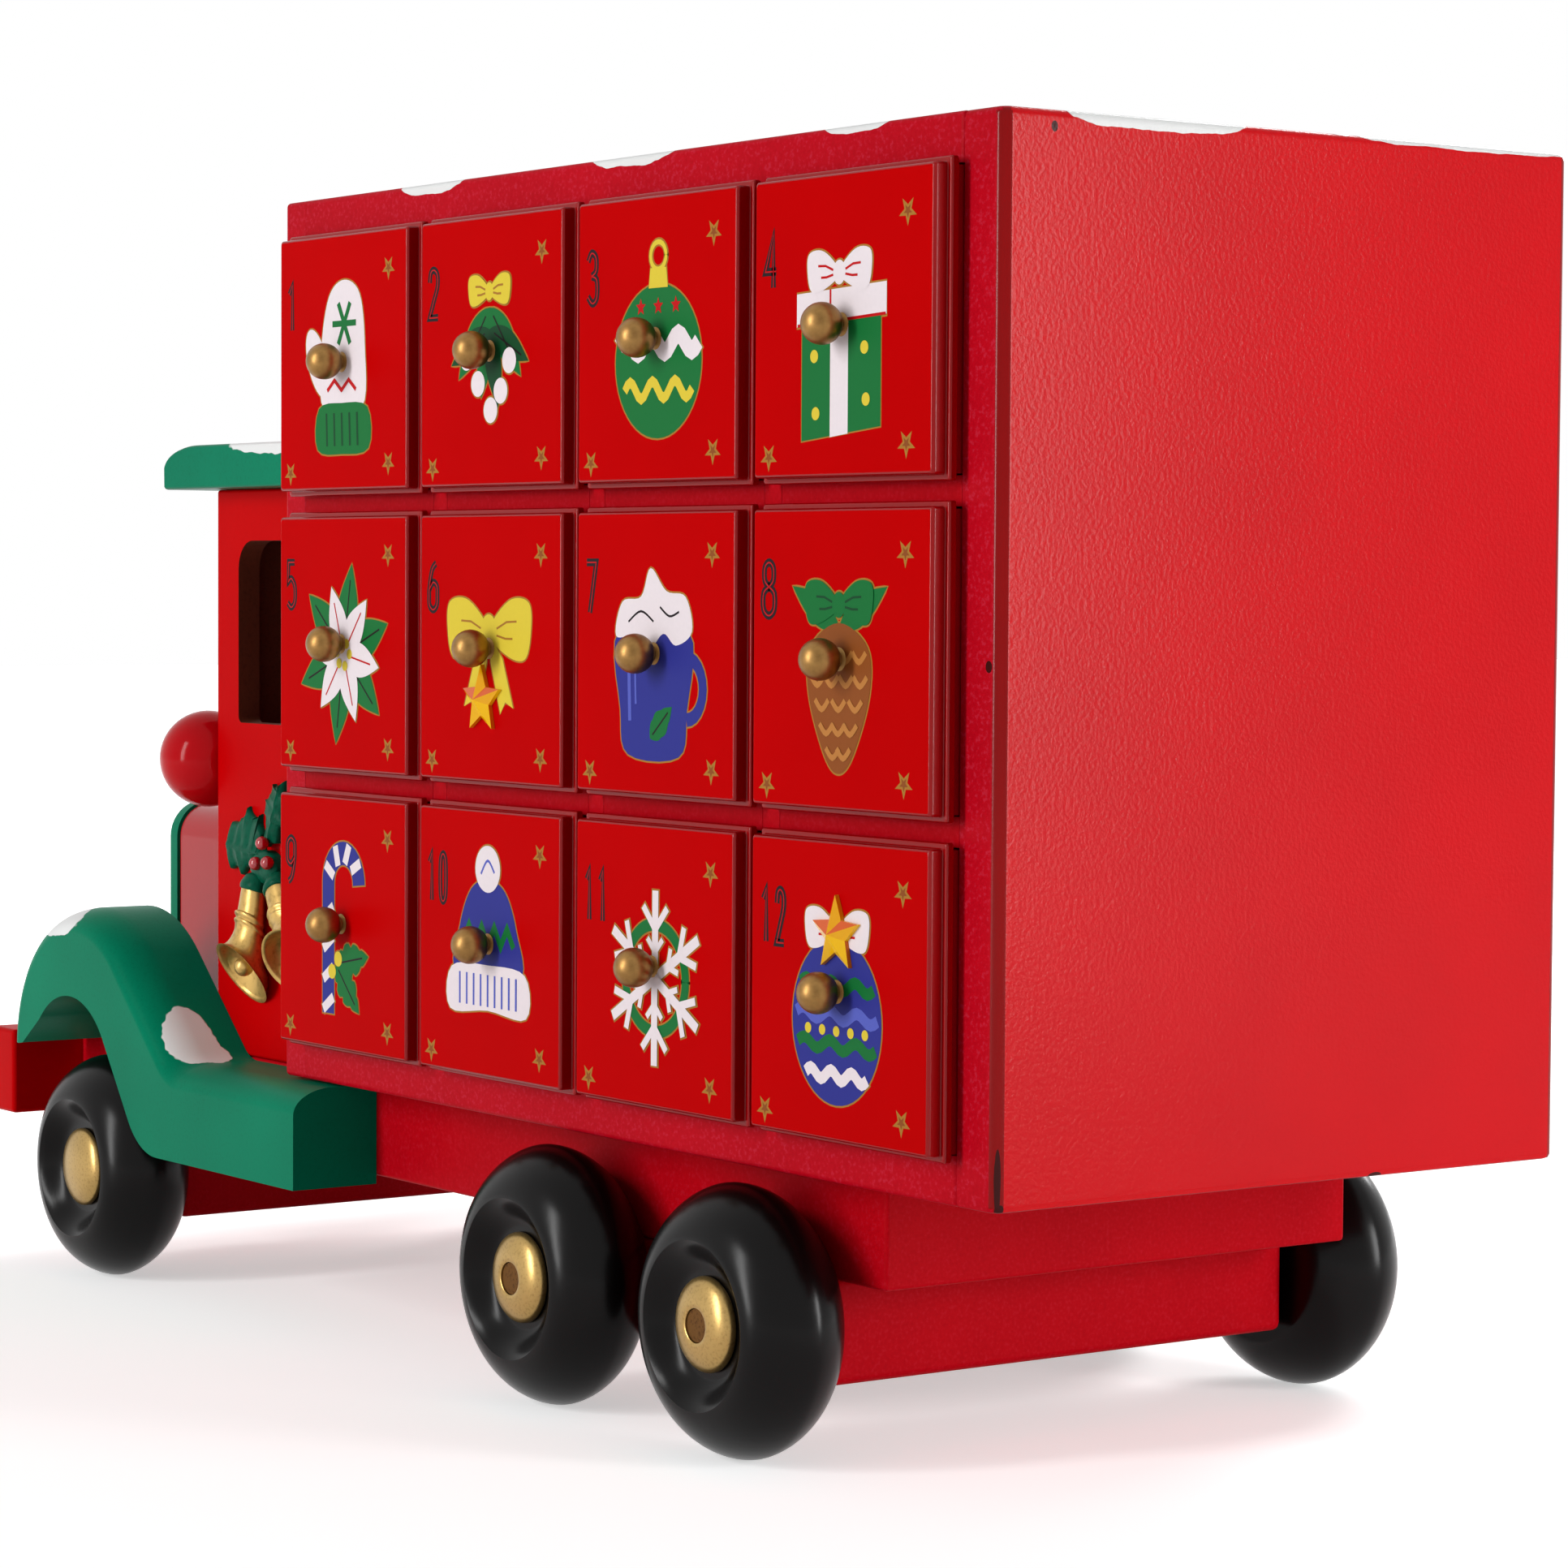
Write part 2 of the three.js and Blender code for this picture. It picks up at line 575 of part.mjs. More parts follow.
// A window opening: square foot, rounded head
function windowHole(left, right, foot, head) {
  const hole = new THREE.Path();
  const top = WINDOW_TOP_CORNER;
  const low = WINDOW_FOOT_CORNER;
  hole.moveTo(left + low, foot);
  hole.lineTo(right - low, foot);
  hole.absarc(right - low, foot + low, low, -Math.PI / 2, 0, false);
  hole.lineTo(right, head - top);
  hole.absarc(right - top, head - top, top, 0, Math.PI / 2, false);
  hole.lineTo(left + top, head);
  hole.absarc(left + top, head - top, top, Math.PI / 2, Math.PI, false);
  hole.lineTo(left, foot + low);
  hole.absarc(left + low, foot + low, low, Math.PI, 1.5 * Math.PI, false);
  return hole;
}

function rectangle(left, right, foot, head) {
  const shape = new THREE.Shape();
  shape.moveTo(left, foot);
  shape.lineTo(right, foot);
  shape.lineTo(right, head);
  shape.lineTo(left, head);
  shape.closePath();
  return shape;
}

// Cab: two side boards with windows, a front board between them, and the roof slab
function addCab() {
  const head = CAB_TOP - WINDOW_TOP_MARGIN;
  const foot = head - WINDOW_HEIGHT;
  const windowFront = CAB_LENGTH - WINDOW_FRONT_MARGIN;
  const side = rectangle(GLUE_LINE, CAB_LENGTH, CAB_BOTTOM, CAB_TOP);
  side.holes.push(windowHole(windowFront - WINDOW_WIDTH, windowFront, foot, head));
  const inner = HALF_CHASSIS - CAB_BOARD;
  addPiece("cab_side_left", sawnInSideView(side, inner, HALF_CHASSIS, 4), paint(RED, 0.4));
  addPiece("cab_side_right", sawnInSideView(side, -HALF_CHASSIS, -inner, 4), paint(RED, 0.4));

  const halfFront = inner - GLUE_LINE;
  const front = rectangle(-halfFront, halfFront, CAB_BOTTOM, CAB_TOP);
  const halfScreen = halfFront - WINDSCREEN_SIDE_MARGIN;
  front.holes.push(windowHole(-halfScreen, halfScreen, foot, head));
  addPiece("cab_front", sawnInFrontView(front, CAB_LENGTH - CAB_BOARD, CAB_LENGTH, 4), paint(RED, 0.4));

  const roofBottom = CAB_TOP + GLUE_LINE;
  const roofTop = roofBottom + ROOF_THICK;
  const nose = CAB_LENGTH + ROOF_FRONT_OVERHANG;
  const roof = new THREE.Shape();
  roof.moveTo(GLUE_LINE, roofBottom);
  roof.lineTo(nose, roofBottom);
  roof.lineTo(nose, roofBottom + ROOF_NOSE_FOOT);
  roof.absellipse(nose - ROOF_NOSE_LENGTH, roofBottom + ROOF_NOSE_FOOT, ROOF_NOSE_LENGTH,
    ROOF_THICK - ROOF_NOSE_FOOT, 0, Math.PI / 2, false);
  roof.lineTo(GLUE_LINE, roofTop);
  roof.closePath();
  const halfRoof = HALF_CHASSIS + ROOF_SIDE_OVERHANG;
  addPiece("cab_roof", sawnInSideView(roof, -halfRoof, halfRoof, 8), paint(GREEN, 0.35));
}

// Round-shouldered outline of the hood, seen from the front
function hoodOutline(grow) {
  const half = HOOD_WIDTH / 2 + grow;
  const top = CAB_BOTTOM + HOOD_HEIGHT + grow;
  const corner = HOOD_CORNER + grow;
  const shape = new THREE.Shape();
  shape.moveTo(-half, CAB_BOTTOM);
  shape.lineTo(half, CAB_BOTTOM);
  shape.lineTo(half, top - corner);
  shape.absarc(half - corner, top - corner, corner, 0, Math.PI / 2, false);
  shape.lineTo(-half + corner, top);
  shape.absarc(-half + corner, top - corner, corner, Math.PI / 2, Math.PI, false);
  shape.closePath();
  return shape;
}

function addNose() {
  const hoodRear = CAB_LENGTH + GLUE_LINE;
  const grilleRear = CHASSIS_AHEAD - GRILLE_SETBACK - GRILLE_THICK;
  const hoodFront = grilleRear - GLUE_LINE;
  addPiece("hood", sawnInFrontView(hoodOutline(0), hoodRear, hoodFront), paint(RED, 0.3));
  const grille = sawnInFrontView(hoodOutline(GRILLE_PROUD), grilleRear, grilleRear + GRILLE_THICK);
  addPiece("grille_surround", grille, paint(GREEN, 0.35));

  const low = [CHASSIS_AHEAD + GLUE_LINE, -BUMPER_LENGTH / 2, CHASSIS_BOTTOM];
  const high = [BUMPER_FRONT, BUMPER_LENGTH / 2, CHASSIS_BOTTOM + BUMPER_HEIGHT];
  addPiece("bumper", board(low, high), paint(RED, 0.4));

  const seat = CAB_LENGTH + GLUE_LINE;
  const ball = toSolid(new THREE.SphereGeometry(LAMP_RADIUS, 16, 10));
  const wall = board([-2 * LAMP_RADIUS, -LAMP_RADIUS, -LAMP_RADIUS],
    [-LAMP_RADIUS + LAMP_FLAT, LAMP_RADIUS, LAMP_RADIUS]);
  const lamp = toGeometry(ball.subtract(toSolid(wall)));
  const lampY = HALF_CHASSIS - LAMP_INSET;
  for (const [name, side] of [["lamp_left", 1], ["lamp_right", -1]]) {
    const mesh = addPiece(name, lamp, paint(RED, 0.12));
    mesh.position.set(seat + LAMP_RADIUS - LAMP_FLAT, side * lampY, CHASSIS_TOP + LAMP_HEIGHT);
  }
}

// Fender outline in side view, split in an upper edge that gets rounded and the rest.
// It is set out from the front axle: the arch and the slope behind the wheel are tangent.
function fenderOutline() {
  const turn = THREE.MathUtils.degToRad;
  const slope = turn(FENDER_ARCH_SLOPE);
  const topSlope = turn(FENDER_TOP_SLOPE);
  const under = new THREE.Vector2(-Math.sin(slope), Math.cos(slope));
  const over = new THREE.Vector2(-Math.sin(topSlope), Math.cos(topSlope));
  const underDistance = WHEEL_RADIUS + FENDER_WHEEL_ROOM;
  const archRise = (underDistance - FENDER_ARCH_RADIUS - under.x * FENDER_ARCH_FORWARD) / under.y;
  const arch = new THREE.Vector2(FRONT_AXLE_X + FENDER_ARCH_FORWARD, AXLE_Z + archRise);
  const crestTop = arch.y + FENDER_ARCH_RADIUS + FENDER_CREST_THICK;
  const crest = new THREE.Vector2(FRONT_AXLE_X + FENDER_CREST_FORWARD, crestTop - FENDER_CREST_RADIUS);
  const tailTop = BOX_BOTTOM - FENDER_TAIL_GAP;
  const tailBottom = CHASSIS_BOTTOM - FENDER_TAIL_DROP;
  const axle = new THREE.Vector2(FRONT_AXLE_X, AXLE_Z);

  // Foot of the slope: an arc tangent to the underside slope and to the flat tail
  const footZ = tailBottom + FENDER_FOOT_RADIUS;
  const footX = axle.x + (underDistance + FENDER_FOOT_RADIUS - under.y * (footZ - axle.y)) / under.x;
  // Hollow above the tail: an arc tangent to the upper slope and to the top of the tail
  const overDistance = over.dot(crest.clone().sub(axle)) + FENDER_CREST_RADIUS;
  const hollowZ = tailTop + FENDER_HOLLOW_RADIUS;
  const hollowX = axle.x + (overDistance + FENDER_HOLLOW_RADIUS - over.y * (hollowZ - axle.y)) / over.x;

  const tipAngle = turn(FENDER_TIP_ANGLE);
  const tipArch = new THREE.Vector2(Math.cos(tipAngle), Math.sin(tipAngle));
  tipArch.multiplyScalar(FENDER_ARCH_RADIUS).add(arch);
  const tipFootX = crest.x + FENDER_CREST_RADIUS - FENDER_TIP_RUN;
  const tipFootZ = crest.y + 1;

  const upper = [];
  const crestStart = Math.asin((tipFootZ - crest.y) / FENDER_CREST_RADIUS);
  const crestEnd = Math.atan2(over.y, over.x);
  pushArc(upper, crest, FENDER_CREST_RADIUS, crestStart, crestEnd, 14);
  const hollow = new THREE.Vector2(hollowX, hollowZ);
  pushArc(upper, hollow, FENDER_HOLLOW_RADIUS, crestEnd - Math.PI, -Math.PI / 2, 4);
  upper.push(new THREE.Vector2(-FENDER_TAIL_LENGTH, tailTop));

  const lower = [new THREE.Vector2(-FENDER_TAIL_LENGTH, tailBottom)];
  const foot = new THREE.Vector2(footX, footZ);
  const slopeEnd = Math.atan2(under.y, under.x);
  pushArc(lower, foot, FENDER_FOOT_RADIUS, -Math.PI / 2, slopeEnd - Math.PI, 5);
  pushArc(lower, arch, FENDER_ARCH_RADIUS, slopeEnd, tipAngle, 10);
  lower.push(new THREE.Vector2(tipFootX, tipFootZ));
  return { upper, lower };
}

function pushArc(points, centre, radius, from, to, steps) {
  for (let i = 0; i <= steps; i += 1) {
    const angle = from + ((to - from) * i) / steps;
    const x = centre.x + radius * Math.cos(angle);
    points.push(new THREE.Vector2(x, centre.y + radius * Math.sin(angle)));
  }
}

// Moves each point of the upper edge into the wood, square to the edge
function dropped(upper, drop) {
  return upper.map((point, i) => {
    const before = upper[Math.max(i - 1, 0)];
    const after = upper[Math.min(i + 1, upper.length - 1)];
    const along = after.clone().sub(before).normalize();
    return new THREE.Vector2(point.x - along.y * drop, point.y + along.x * drop);
  });
}

// A skin over closed rings of points, which turn left as seen along the loft; each cap is a list
// of triangles of ring indices
function lofted(rings, firstCap, lastCap) {
  const count = rings[0].length;
  const index = [];
  for (let ring = 0; ring + 1 < rings.length; ring += 1) {
    for (let i = 0; i < count; i += 1) {
      const a = ring * count + i;
      const b = ring * count + ((i + 1) % count);
      index.push(a, a + count, b + count, a, b + count, b);
    }
  }
  const last = (rings.length - 1) * count;
  for (const [a, b, c] of firstCap) index.push(a, b, c);
  for (const [a, b, c] of lastCap) index.push(last + a, last + c, last + b);
  const geometry = new THREE.BufferGeometry();
  geometry.setAttribute("position", new THREE.Float32BufferAttribute(rings.flat(2), 3));
  geometry.setIndex(index);
  geometry.computeVertexNormals();
  return geometry;
}

// Fender: a loft through copies of the outline, whose top edge sinks towards the outer face
function fenderGeometry() {
  const { upper, lower } = fenderOutline();
  const inner = HALF_CHASSIS + GLUE_LINE;
  const outer = inner + FENDER_THICK;
  const sections = [{ y: inner, drop: 0 }];
  for (const angle of [0, 25, 50, 70, 90]) {
    const turn = THREE.MathUtils.degToRad(angle);
    const y = outer - FENDER_ROUND_WIDTH * (1 - Math.sin(turn));
    sections.push({ y, drop: FENDER_ROUND_DROP * (1 - Math.cos(turn)) });
  }
  const rings = sections.map(({ y, drop }) => {
    const outline = [...dropped(upper, drop), ...lower];
    return outline.map((point) => [point.x, y, point.y]);
  });
  const flat = (ring) => ring.map(([x, , z]) => new THREE.Vector2(x, z));
  const cap = (ring) => THREE.ShapeUtils.triangulateShape(flat(ring), []);
  return lofted(rings, cap(rings[0]), cap(rings.at(-1)));
}

// Mirrors a closed geometry in y and turns its faces right way out again
function mirrored(geometry) {
  const copy = geometry.index ? geometry.toNonIndexed() : geometry.clone();
  copy.scale(1, -1, 1);
  const position = copy.attributes.position;
  for (let i = 0; i < position.count; i += 3) {
    const second = new THREE.Vector3().fromBufferAttribute(position, i + 1);
    const third = new THREE.Vector3().fromBufferAttribute(position, i + 2);
    position.setXYZ(i + 1, third.x, third.y, third.z);
    position.setXYZ(i + 2, second.x, second.y, second.z);
  }
  copy.computeVertexNormals();
  return copy;
}

function addFenders() {
  const fender = fenderGeometry();
  addPiece("fender_left", fender, paint(GREEN, 0.35));
  addPiece("fender_right", mirrored(fender), paint(GREEN, 0.35));
}

// Bell: a round casting that hangs along the cab and turns its mouth out. The crown is at the
// origin and its back at y = 0; radii and tilt grow towards the mouth
function bellGeometry() {
  const mix = THREE.MathUtils.lerp;
  const ring = (share, width, depth, along) => {
    const tilt = THREE.MathUtils.degToRad(mix(BELL_CROWN_TILT, BELL_MOUTH_TILT, share));
    const out = mix(BELL_RELIEF, 1, share) * wideAt(share) * Math.cos(tilt);
    return Array.from({ length: BELL_SIDES }, (_, i) => {
      const angle = (2 * Math.PI * i) / BELL_SIDES;
      const up = depth * Math.sin(angle);
      return [
        width * Math.cos(angle),
        out + up * Math.cos(tilt) - along * Math.sin(tilt),
        up * Math.sin(tilt) + along * Math.cos(tilt) - share * BELL_LENGTH,
      ];
    });
  };
  const wideAt = (share) => {
    const flare = Math.max(0, (share - BELL_FLARE_START) / (1 - BELL_FLARE_START));
    const waist = mix(BELL_CROWN_RADIUS, BELL_WAIST_RADIUS, Math.min(1, share / BELL_FLARE_START));
    return waist + (BELL_MOUTH_RADIUS - BELL_WAIST_RADIUS) * flare ** BELL_FLARE_POWER;
  };
  const outer = (share) => ring(share, wideAt(share), wideAt(share) * mix(BELL_RELIEF, 1, share), 0);
  const crown = BELL_CROWN_RADIUS;
  const rings = [ring(0, crown * 0.6, crown * 0.5, crown * 0.4), ...BELL_STATIONS.map(outer)];
  const bowl = BELL_MOUTH_RADIUS - BELL_LIP;
  for (const [across, deep] of [[1, 0], [0.8, 0.6], [0.3, 1]]) {
    rings.push(ring(1, bowl * across, bowl * across, BELL_HOLLOW * deep));
  }
  const cap = Array.from({ length: BELL_SIDES - 2 }, (_, i) => [0, i + 1, i + 2]);
  return lofted(rings, cap, cap);
}

// Holly leaf: a spiny outline with its stalk at the origin, pointing along +X
function leafGeometry() {
  const spines = [[0.34, 0.45], [0.5, 0.3], [0.68, 0.5], [0.84, 0.24]];
  const shape = new THREE.Shape();
  shape.moveTo(0, 0);
  for (const [along, across] of spines) shape.lineTo(LEAF_LENGTH * along, -LEAF_WIDTH * across);
  shape.lineTo(LEAF_LENGTH, 0);
  for (const [along, across] of [...spines].reverse()) {
    shape.lineTo(LEAF_LENGTH * along, LEAF_WIDTH * across);
  }
  shape.closePath();
  return sawnInSideView(shape, -LEAF_THICK, LEAF_THICK);
}

// The ornament is cast in one, flat at the back; the knot is at the origin and the back at y = 0
function ornamentGeometry() {
  const turn = THREE.MathUtils.degToRad;
  const parts = [];
  const mouthOut = BELL_MOUTH_RADIUS * Math.cos(turn(BELL_MOUTH_TILT));
  for (const [ahead, lean] of [[FORE_BELL_AHEAD, FORE_BELL_LEAN], [AFT_BELL_AHEAD, AFT_BELL_LEAN]]) {
    const bell = bellGeometry();
    const clapper = new THREE.SphereGeometry(CLAPPER_RADIUS, 6, 4);
    clapper.translate(0, mouthOut - BELL_HOLLOW / 2, BELL_HOLLOW / 2 - BELL_LENGTH);
    for (const geometry of [bell, clapper]) {
      geometry.rotateY(-turn(lean));
      geometry.translate(ahead, BELL_STANDOFF, -BELL_DROP);
      parts.push(geometry);
    }
  }
  LEAF_ANGLES.forEach((angle, i) => {
    const leaf = leafGeometry().rotateY(-turn(angle));
    parts.push(leaf.translate(0, -LEAF_STEP * i, 0));
  });
  const knot = new THREE.CylinderGeometry(KNOT_LENGTH / 2, KNOT_LENGTH / 2, 2 * KNOT_THICK, 12);
  knot.scale(1, 1, KNOT_DEPTH / KNOT_LENGTH);
  parts.push(knot.translate(0, 0, KNOT_DEPTH / 4 - BELL_DROP));
  for (let i = 0; i < BERRY_COUNT; i += 1) {
    const angle = Math.PI / 2 + (2 * Math.PI * i) / BERRY_COUNT;
    const berry = new THREE.SphereGeometry(BERRY_RADIUS, 6, 4);
    berry.translate(BERRY_RING * Math.cos(angle), LEAF_THICK, BERRY_RISE + BERRY_RING * Math.sin(angle));
    parts.push(berry);
  }
  const reach = 2 * BELL_LENGTH;
  const wall = toSolid(board([-reach, -reach, -reach], [reach, 0, reach]));
  const whole = parts.map(toSolid).reduce((joined, part) => joined.add(part));
  return toGeometry(whole.subtract(wall));
}

function addOrnaments() {
  const ornament = ornamentGeometry();
  ornament.translate(KNOT_AHEAD, HALF_CHASSIS + GLUE_LINE, CHASSIS_TOP + KNOT_HEIGHT);
  addPiece("bell_ornament_left", ornament, paint(GOLD, 0.35, 0.5));
  addPiece("bell_ornament_right", mirrored(ornament), paint(GOLD, 0.35, 0.5));
}

addBox();
addEggCrate();
addDrawers();
addGems();
addChassis();
addWheels();
addCab();
addNose();
addFenders();
addOrnaments();

const model = new THREE.Group();
model.add(truck);

export default model;
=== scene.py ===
# Truck advent calendar: a painted wooden lorry with twelve pull-out drawers on each side.
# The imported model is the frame, in metres, with +X to the nose, +Y to the truck's left and +Z up.
# Pieces are drawn in millimetres and scaled once, when they are made into meshes.
import math

import bmesh
import bpy
from mathutils import Matrix, Vector


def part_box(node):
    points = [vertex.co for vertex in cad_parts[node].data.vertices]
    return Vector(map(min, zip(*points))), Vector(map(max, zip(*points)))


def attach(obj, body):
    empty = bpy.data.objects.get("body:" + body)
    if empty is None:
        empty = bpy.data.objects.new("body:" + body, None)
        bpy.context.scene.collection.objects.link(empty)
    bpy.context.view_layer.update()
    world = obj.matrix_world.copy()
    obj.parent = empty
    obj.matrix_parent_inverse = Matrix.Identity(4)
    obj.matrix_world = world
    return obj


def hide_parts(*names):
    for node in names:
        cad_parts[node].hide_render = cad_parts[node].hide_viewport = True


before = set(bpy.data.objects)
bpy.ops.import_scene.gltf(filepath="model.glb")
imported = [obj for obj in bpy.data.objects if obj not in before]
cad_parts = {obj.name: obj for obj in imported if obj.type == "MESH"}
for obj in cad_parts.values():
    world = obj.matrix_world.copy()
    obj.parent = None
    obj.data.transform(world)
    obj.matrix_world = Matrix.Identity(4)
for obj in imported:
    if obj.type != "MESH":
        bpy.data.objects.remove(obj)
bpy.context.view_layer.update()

# Camera: a long lens behind the truck and to its left, just above the middle of the box,
# so that the drawers run away from it to the front and the rear panel faces it.
MM = 0.001
LENS = 99.4
SENSOR_WIDTH = 36
CAMERA_PLACE = (-723.2, 492.4, 152.6)
CAMERA_HEADING = -35.48  # in degrees, as are the tilt and the roll
CAMERA_TILT = -2.69
CAMERA_ROLL = 0.35

camera = bpy.data.objects.new("camera", bpy.data.cameras.new("camera"))
bpy.context.scene.collection.objects.link(camera)
camera.data.lens = LENS
camera.data.sensor_width = SENSOR_WIDTH
camera.matrix_world = (
    Matrix.Translation(Vector(CAMERA_PLACE) * MM)
    @ Matrix.Rotation(math.radians(CAMERA_HEADING - 90), 4, "Z")
    @ Matrix.Rotation(math.radians(90 + CAMERA_TILT), 4, "X")
    @ Matrix.Rotation(math.radians(CAMERA_ROLL), 4, "Z")
)
bpy.context.scene.camera = camera


# Chassis: a red plank under the box and cab, and two blocks glued under it that carry the axles.
# Pine or MDF, sprayed with a crimson enamel; pale specks painted into its film are painted highlights, where
# the fibres catch the light when seen close.
CLOUD_MM = 35  # width of the faint clouds in a sprayed film
CLOUD_RANGE = (0.3, 0.7)  # where a noise begins to show as clouds, specks or painted glints, and shows in full
CLOUD_DEPTH = 0.35
SPECK_RANGE = (0.5, 0.72)
GLINT_RANGE = (0.46, 0.3)
RIPPLE_STRENGTH = 0.6
DAB_RAG_MM = 9  # width of the ragged steps along a brushed dab
DAB_RAG = 0.9  # how far they reach, as a share of the dab
DAB_EDGE = (1.47, 1.43)  # where a dab begins and is full, on the sum of its reach and its rags
SNOW_WHITE = "#E9EAE9"
SNOW_THICK = 4.0  # against the ripple of the paint under it
CHIP_DARK = "#3A0A08"
OUTER_PLANE = 0.08  # a corner this near to the body's outer plane lies on it
PLANK_EASE = 0.8
BLOCK_EASE = 1.6


def linear(hex_colour):
    """An sRGB hex colour as the linear RGBA that shaders take."""
    channels = [int(hex_colour[i : i + 2], 16) / 255 for i in (1, 3, 5)]
    return [c / 12.92 if c <= 0.04045 else ((c + 0.055) / 1.055) ** 2.4 for c in channels] + [1.0]


def add_node(tree, kind, inputs=None, **settings):
    """One shader node: its settings by name, its inputs by name or, where names repeat, by place.
    An input is a value, a socket, or a node whose first output in use is taken."""
    made = tree.nodes.new("ShaderNode" + kind)
    for name, value in settings.items():
        setattr(made, name, value)
    for name, value in (inputs or {}).items():
        used = [socket for socket in made.inputs if socket.enabled and socket.name == name]
        socket = used[0] if used else made.inputs[name]
        if isinstance(value, bpy.types.Node):
            value = next(output for output in value.outputs if output.enabled)
        if isinstance(value, bpy.types.NodeSocket):
            tree.links.new(value, socket)
        else:
            socket.default_value = value
    return made


def new_material(name, roughness, **sockets):
    """A material with one shader; sockets are given by their names with _ for spaces."""
    material = bpy.data.materials.new(name)
    material.use_nodes = True
    tree = material.node_tree
    tree.nodes.clear()
    shader = add_node(tree, "BsdfPrincipled", {"Roughness": roughness})
    for socket, value in sockets.items():
        shader.inputs[socket.replace("_", " ")].default_value = value
    add_node(tree, "OutputMaterial", {"Surface": shader})
    return material, tree, shader


def dab_mask(tree, place, dabs):
    """1 inside ragged dabs of a brush, 0 outside; each dab has a centre and radii in mm."""
    rags = add_node(tree, "TexNoise", {"Vector": place, "Scale": 1 / (DAB_RAG_MM * MM), "Detail": 3.0})
    nearest = None
    for centre, radii in dabs:
        away = add_node(tree, "VectorMath", {0: place, 1: Vector(centre) * MM}, operation="SUBTRACT")
        share = add_node(tree, "VectorMath", {0: away, 1: Vector(radii) * MM}, operation="DIVIDE")
        reach = add_node(tree, "VectorMath", {0: share}, operation="LENGTH")
        if nearest is not None:
            reach = add_node(tree, "Math", {0: nearest, 1: reach}, operation="MINIMUM")
        nearest = reach
    torn = add_node(tree, "Math", {0: rags, 1: DAB_RAG, 2: nearest}, operation="MULTIPLY_ADD")
    edge = {"Value": torn, "From Min": DAB_EDGE[0], "From Max": DAB_EDGE[1]}
    return add_node(tree, "MapRange", edge, interpolation_type="SMOOTHSTEP")


def enamel(name, colour, shade, roughness, gloss, speck, ripple, fibre_glints=None, metallic=0.0, snow=(), chips=()):
    """Enamel sprayed or rolled on wood, which clouds from its colour to a shade of it. Speck is the width in
    mm and the strength of the specks in the film, ripple the width and depth in mm of its waves, and
    fibre_glints the paler tone and the strength of painted highlights: pale specks where the sanded fibres
    would catch the light."""
    material, tree, shader = new_material(name, roughness, Specular_IOR_Level=gloss, Metallic=metallic)
    place = add_node(tree, "TexCoord").outputs["Object"]
    cloud = add_node(tree, "TexNoise", {"Vector": place, "Scale": 1 / (CLOUD_MM * MM), "Detail": 2.0})
    fine = add_node(tree, "TexNoise", {"Vector": place, "Scale": 1 / (speck[0] * MM), "Detail": 2.0})
    shares = []
    for noise, (start, full), depth in ((fine, SPECK_RANGE, speck[1]), (cloud, CLOUD_RANGE, CLOUD_DEPTH)):
        shown = {"Value": noise, "From Min": start, "From Max": full, "To Max": depth}
        shares.append(add_node(tree, "MapRange", shown))
    share = add_node(tree, "Math", {0: shares[0], 1: shares[1]}, operation="ADD")
    film = add_node(tree, "Mix", {"Factor": share, "A": linear(colour), "B": linear(shade)}, data_type="RGBA")
    # Pale specks painted into the film: painted highlights where the sanded fibres catch the light.
    if fibre_glints:
        pale = {"Value": fine, "From Min": GLINT_RANGE[0], "From Max": GLINT_RANGE[1], "To Max": fibre_glints[1]}
        glint_share = add_node(tree, "MapRange", pale)
        film = add_node(tree, "Mix", {"Factor": glint_share, "A": film, "B": linear(fibre_glints[0])}, data_type="RGBA")
    height = add_node(tree, "TexNoise", {"Vector": place, "Scale": 1 / (ripple[0] * MM), "Detail": 3.0})
    if chips:
        bare = dab_mask(tree, place, chips)
        film = add_node(tree, "Mix", {"Factor": bare, "A": film, "B": linear(CHIP_DARK)}, data_type="RGBA")
    if snow:
        mask = dab_mask(tree, place, snow)
        film = add_node(tree, "Mix", {"Factor": mask, "A": film, "B": linear(SNOW_WHITE)}, data_type="RGBA")
        height = add_node(tree, "Math", {0: mask, 1: SNOW_THICK, 2: height}, operation="MULTIPLY_ADD")
    waves = {"Height": height, "Strength": RIPPLE_STRENGTH, "Distance": ripple[1] * MM}
    bump = add_node(tree, "Bump", waves)
    tree.links.new(film.outputs[2], shader.inputs["Base Color"])
    tree.links.new(bump.outputs[0], shader.inputs["Normal"])
    return material


def as_mesh(name, bm, materials, sharp=35):
    """A mesh from millimetre geometry, smooth but for the edges sharper than an angle."""
    bm.transform(Matrix.Scale(MM, 4))
    bmesh.ops.recalc_face_normals(bm, faces=bm.faces)
    mesh = bpy.data.meshes.new(name)
    bm.to_mesh(mesh)
    bm.free()
    for material in materials:
        mesh.materials.append(material)
    mesh.shade_smooth()
    mesh.set_sharp_from_angle(angle=math.radians(sharp))
    return mesh


def put_mesh(name, mesh, body, stands_for=(), place=None):
    """Puts a mesh, which several pieces may share, at its place on a body. Large faces keep their
    flat shading up to their eased edges."""
    piece = bpy.data.objects.new(name, mesh)
    bpy.context.scene.collection.objects.link(piece)
    flat = piece.modifiers.new("flat_faces", "WEIGHTED_NORMAL")
    flat.keep_sharp = True
    flat.weight = 100
    if place is not None:
        piece.matrix_world = place
    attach(piece, body)
    if stands_for:
        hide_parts(*stands_for)
    return piece


def put(name, bm, materials, body, stands_for=(), place=None, sharp=35):
    """Makes a piece from millimetre geometry and rides it on a body of the frame."""
    return put_mesh(name, as_mesh(name, bm, materials, sharp), body, stands_for, place)


def limits(nodes):
    """Lowest and highest corner of some CAD nodes together, in millimetres."""
    corners = [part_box(node) for node in nodes]
    low = Vector([min(c[0][axis] for c in corners) for axis in range(3)]) / MM
    high = Vector([max(c[1][axis] for c in corners) for axis in range(3)]) / MM
    return low, high


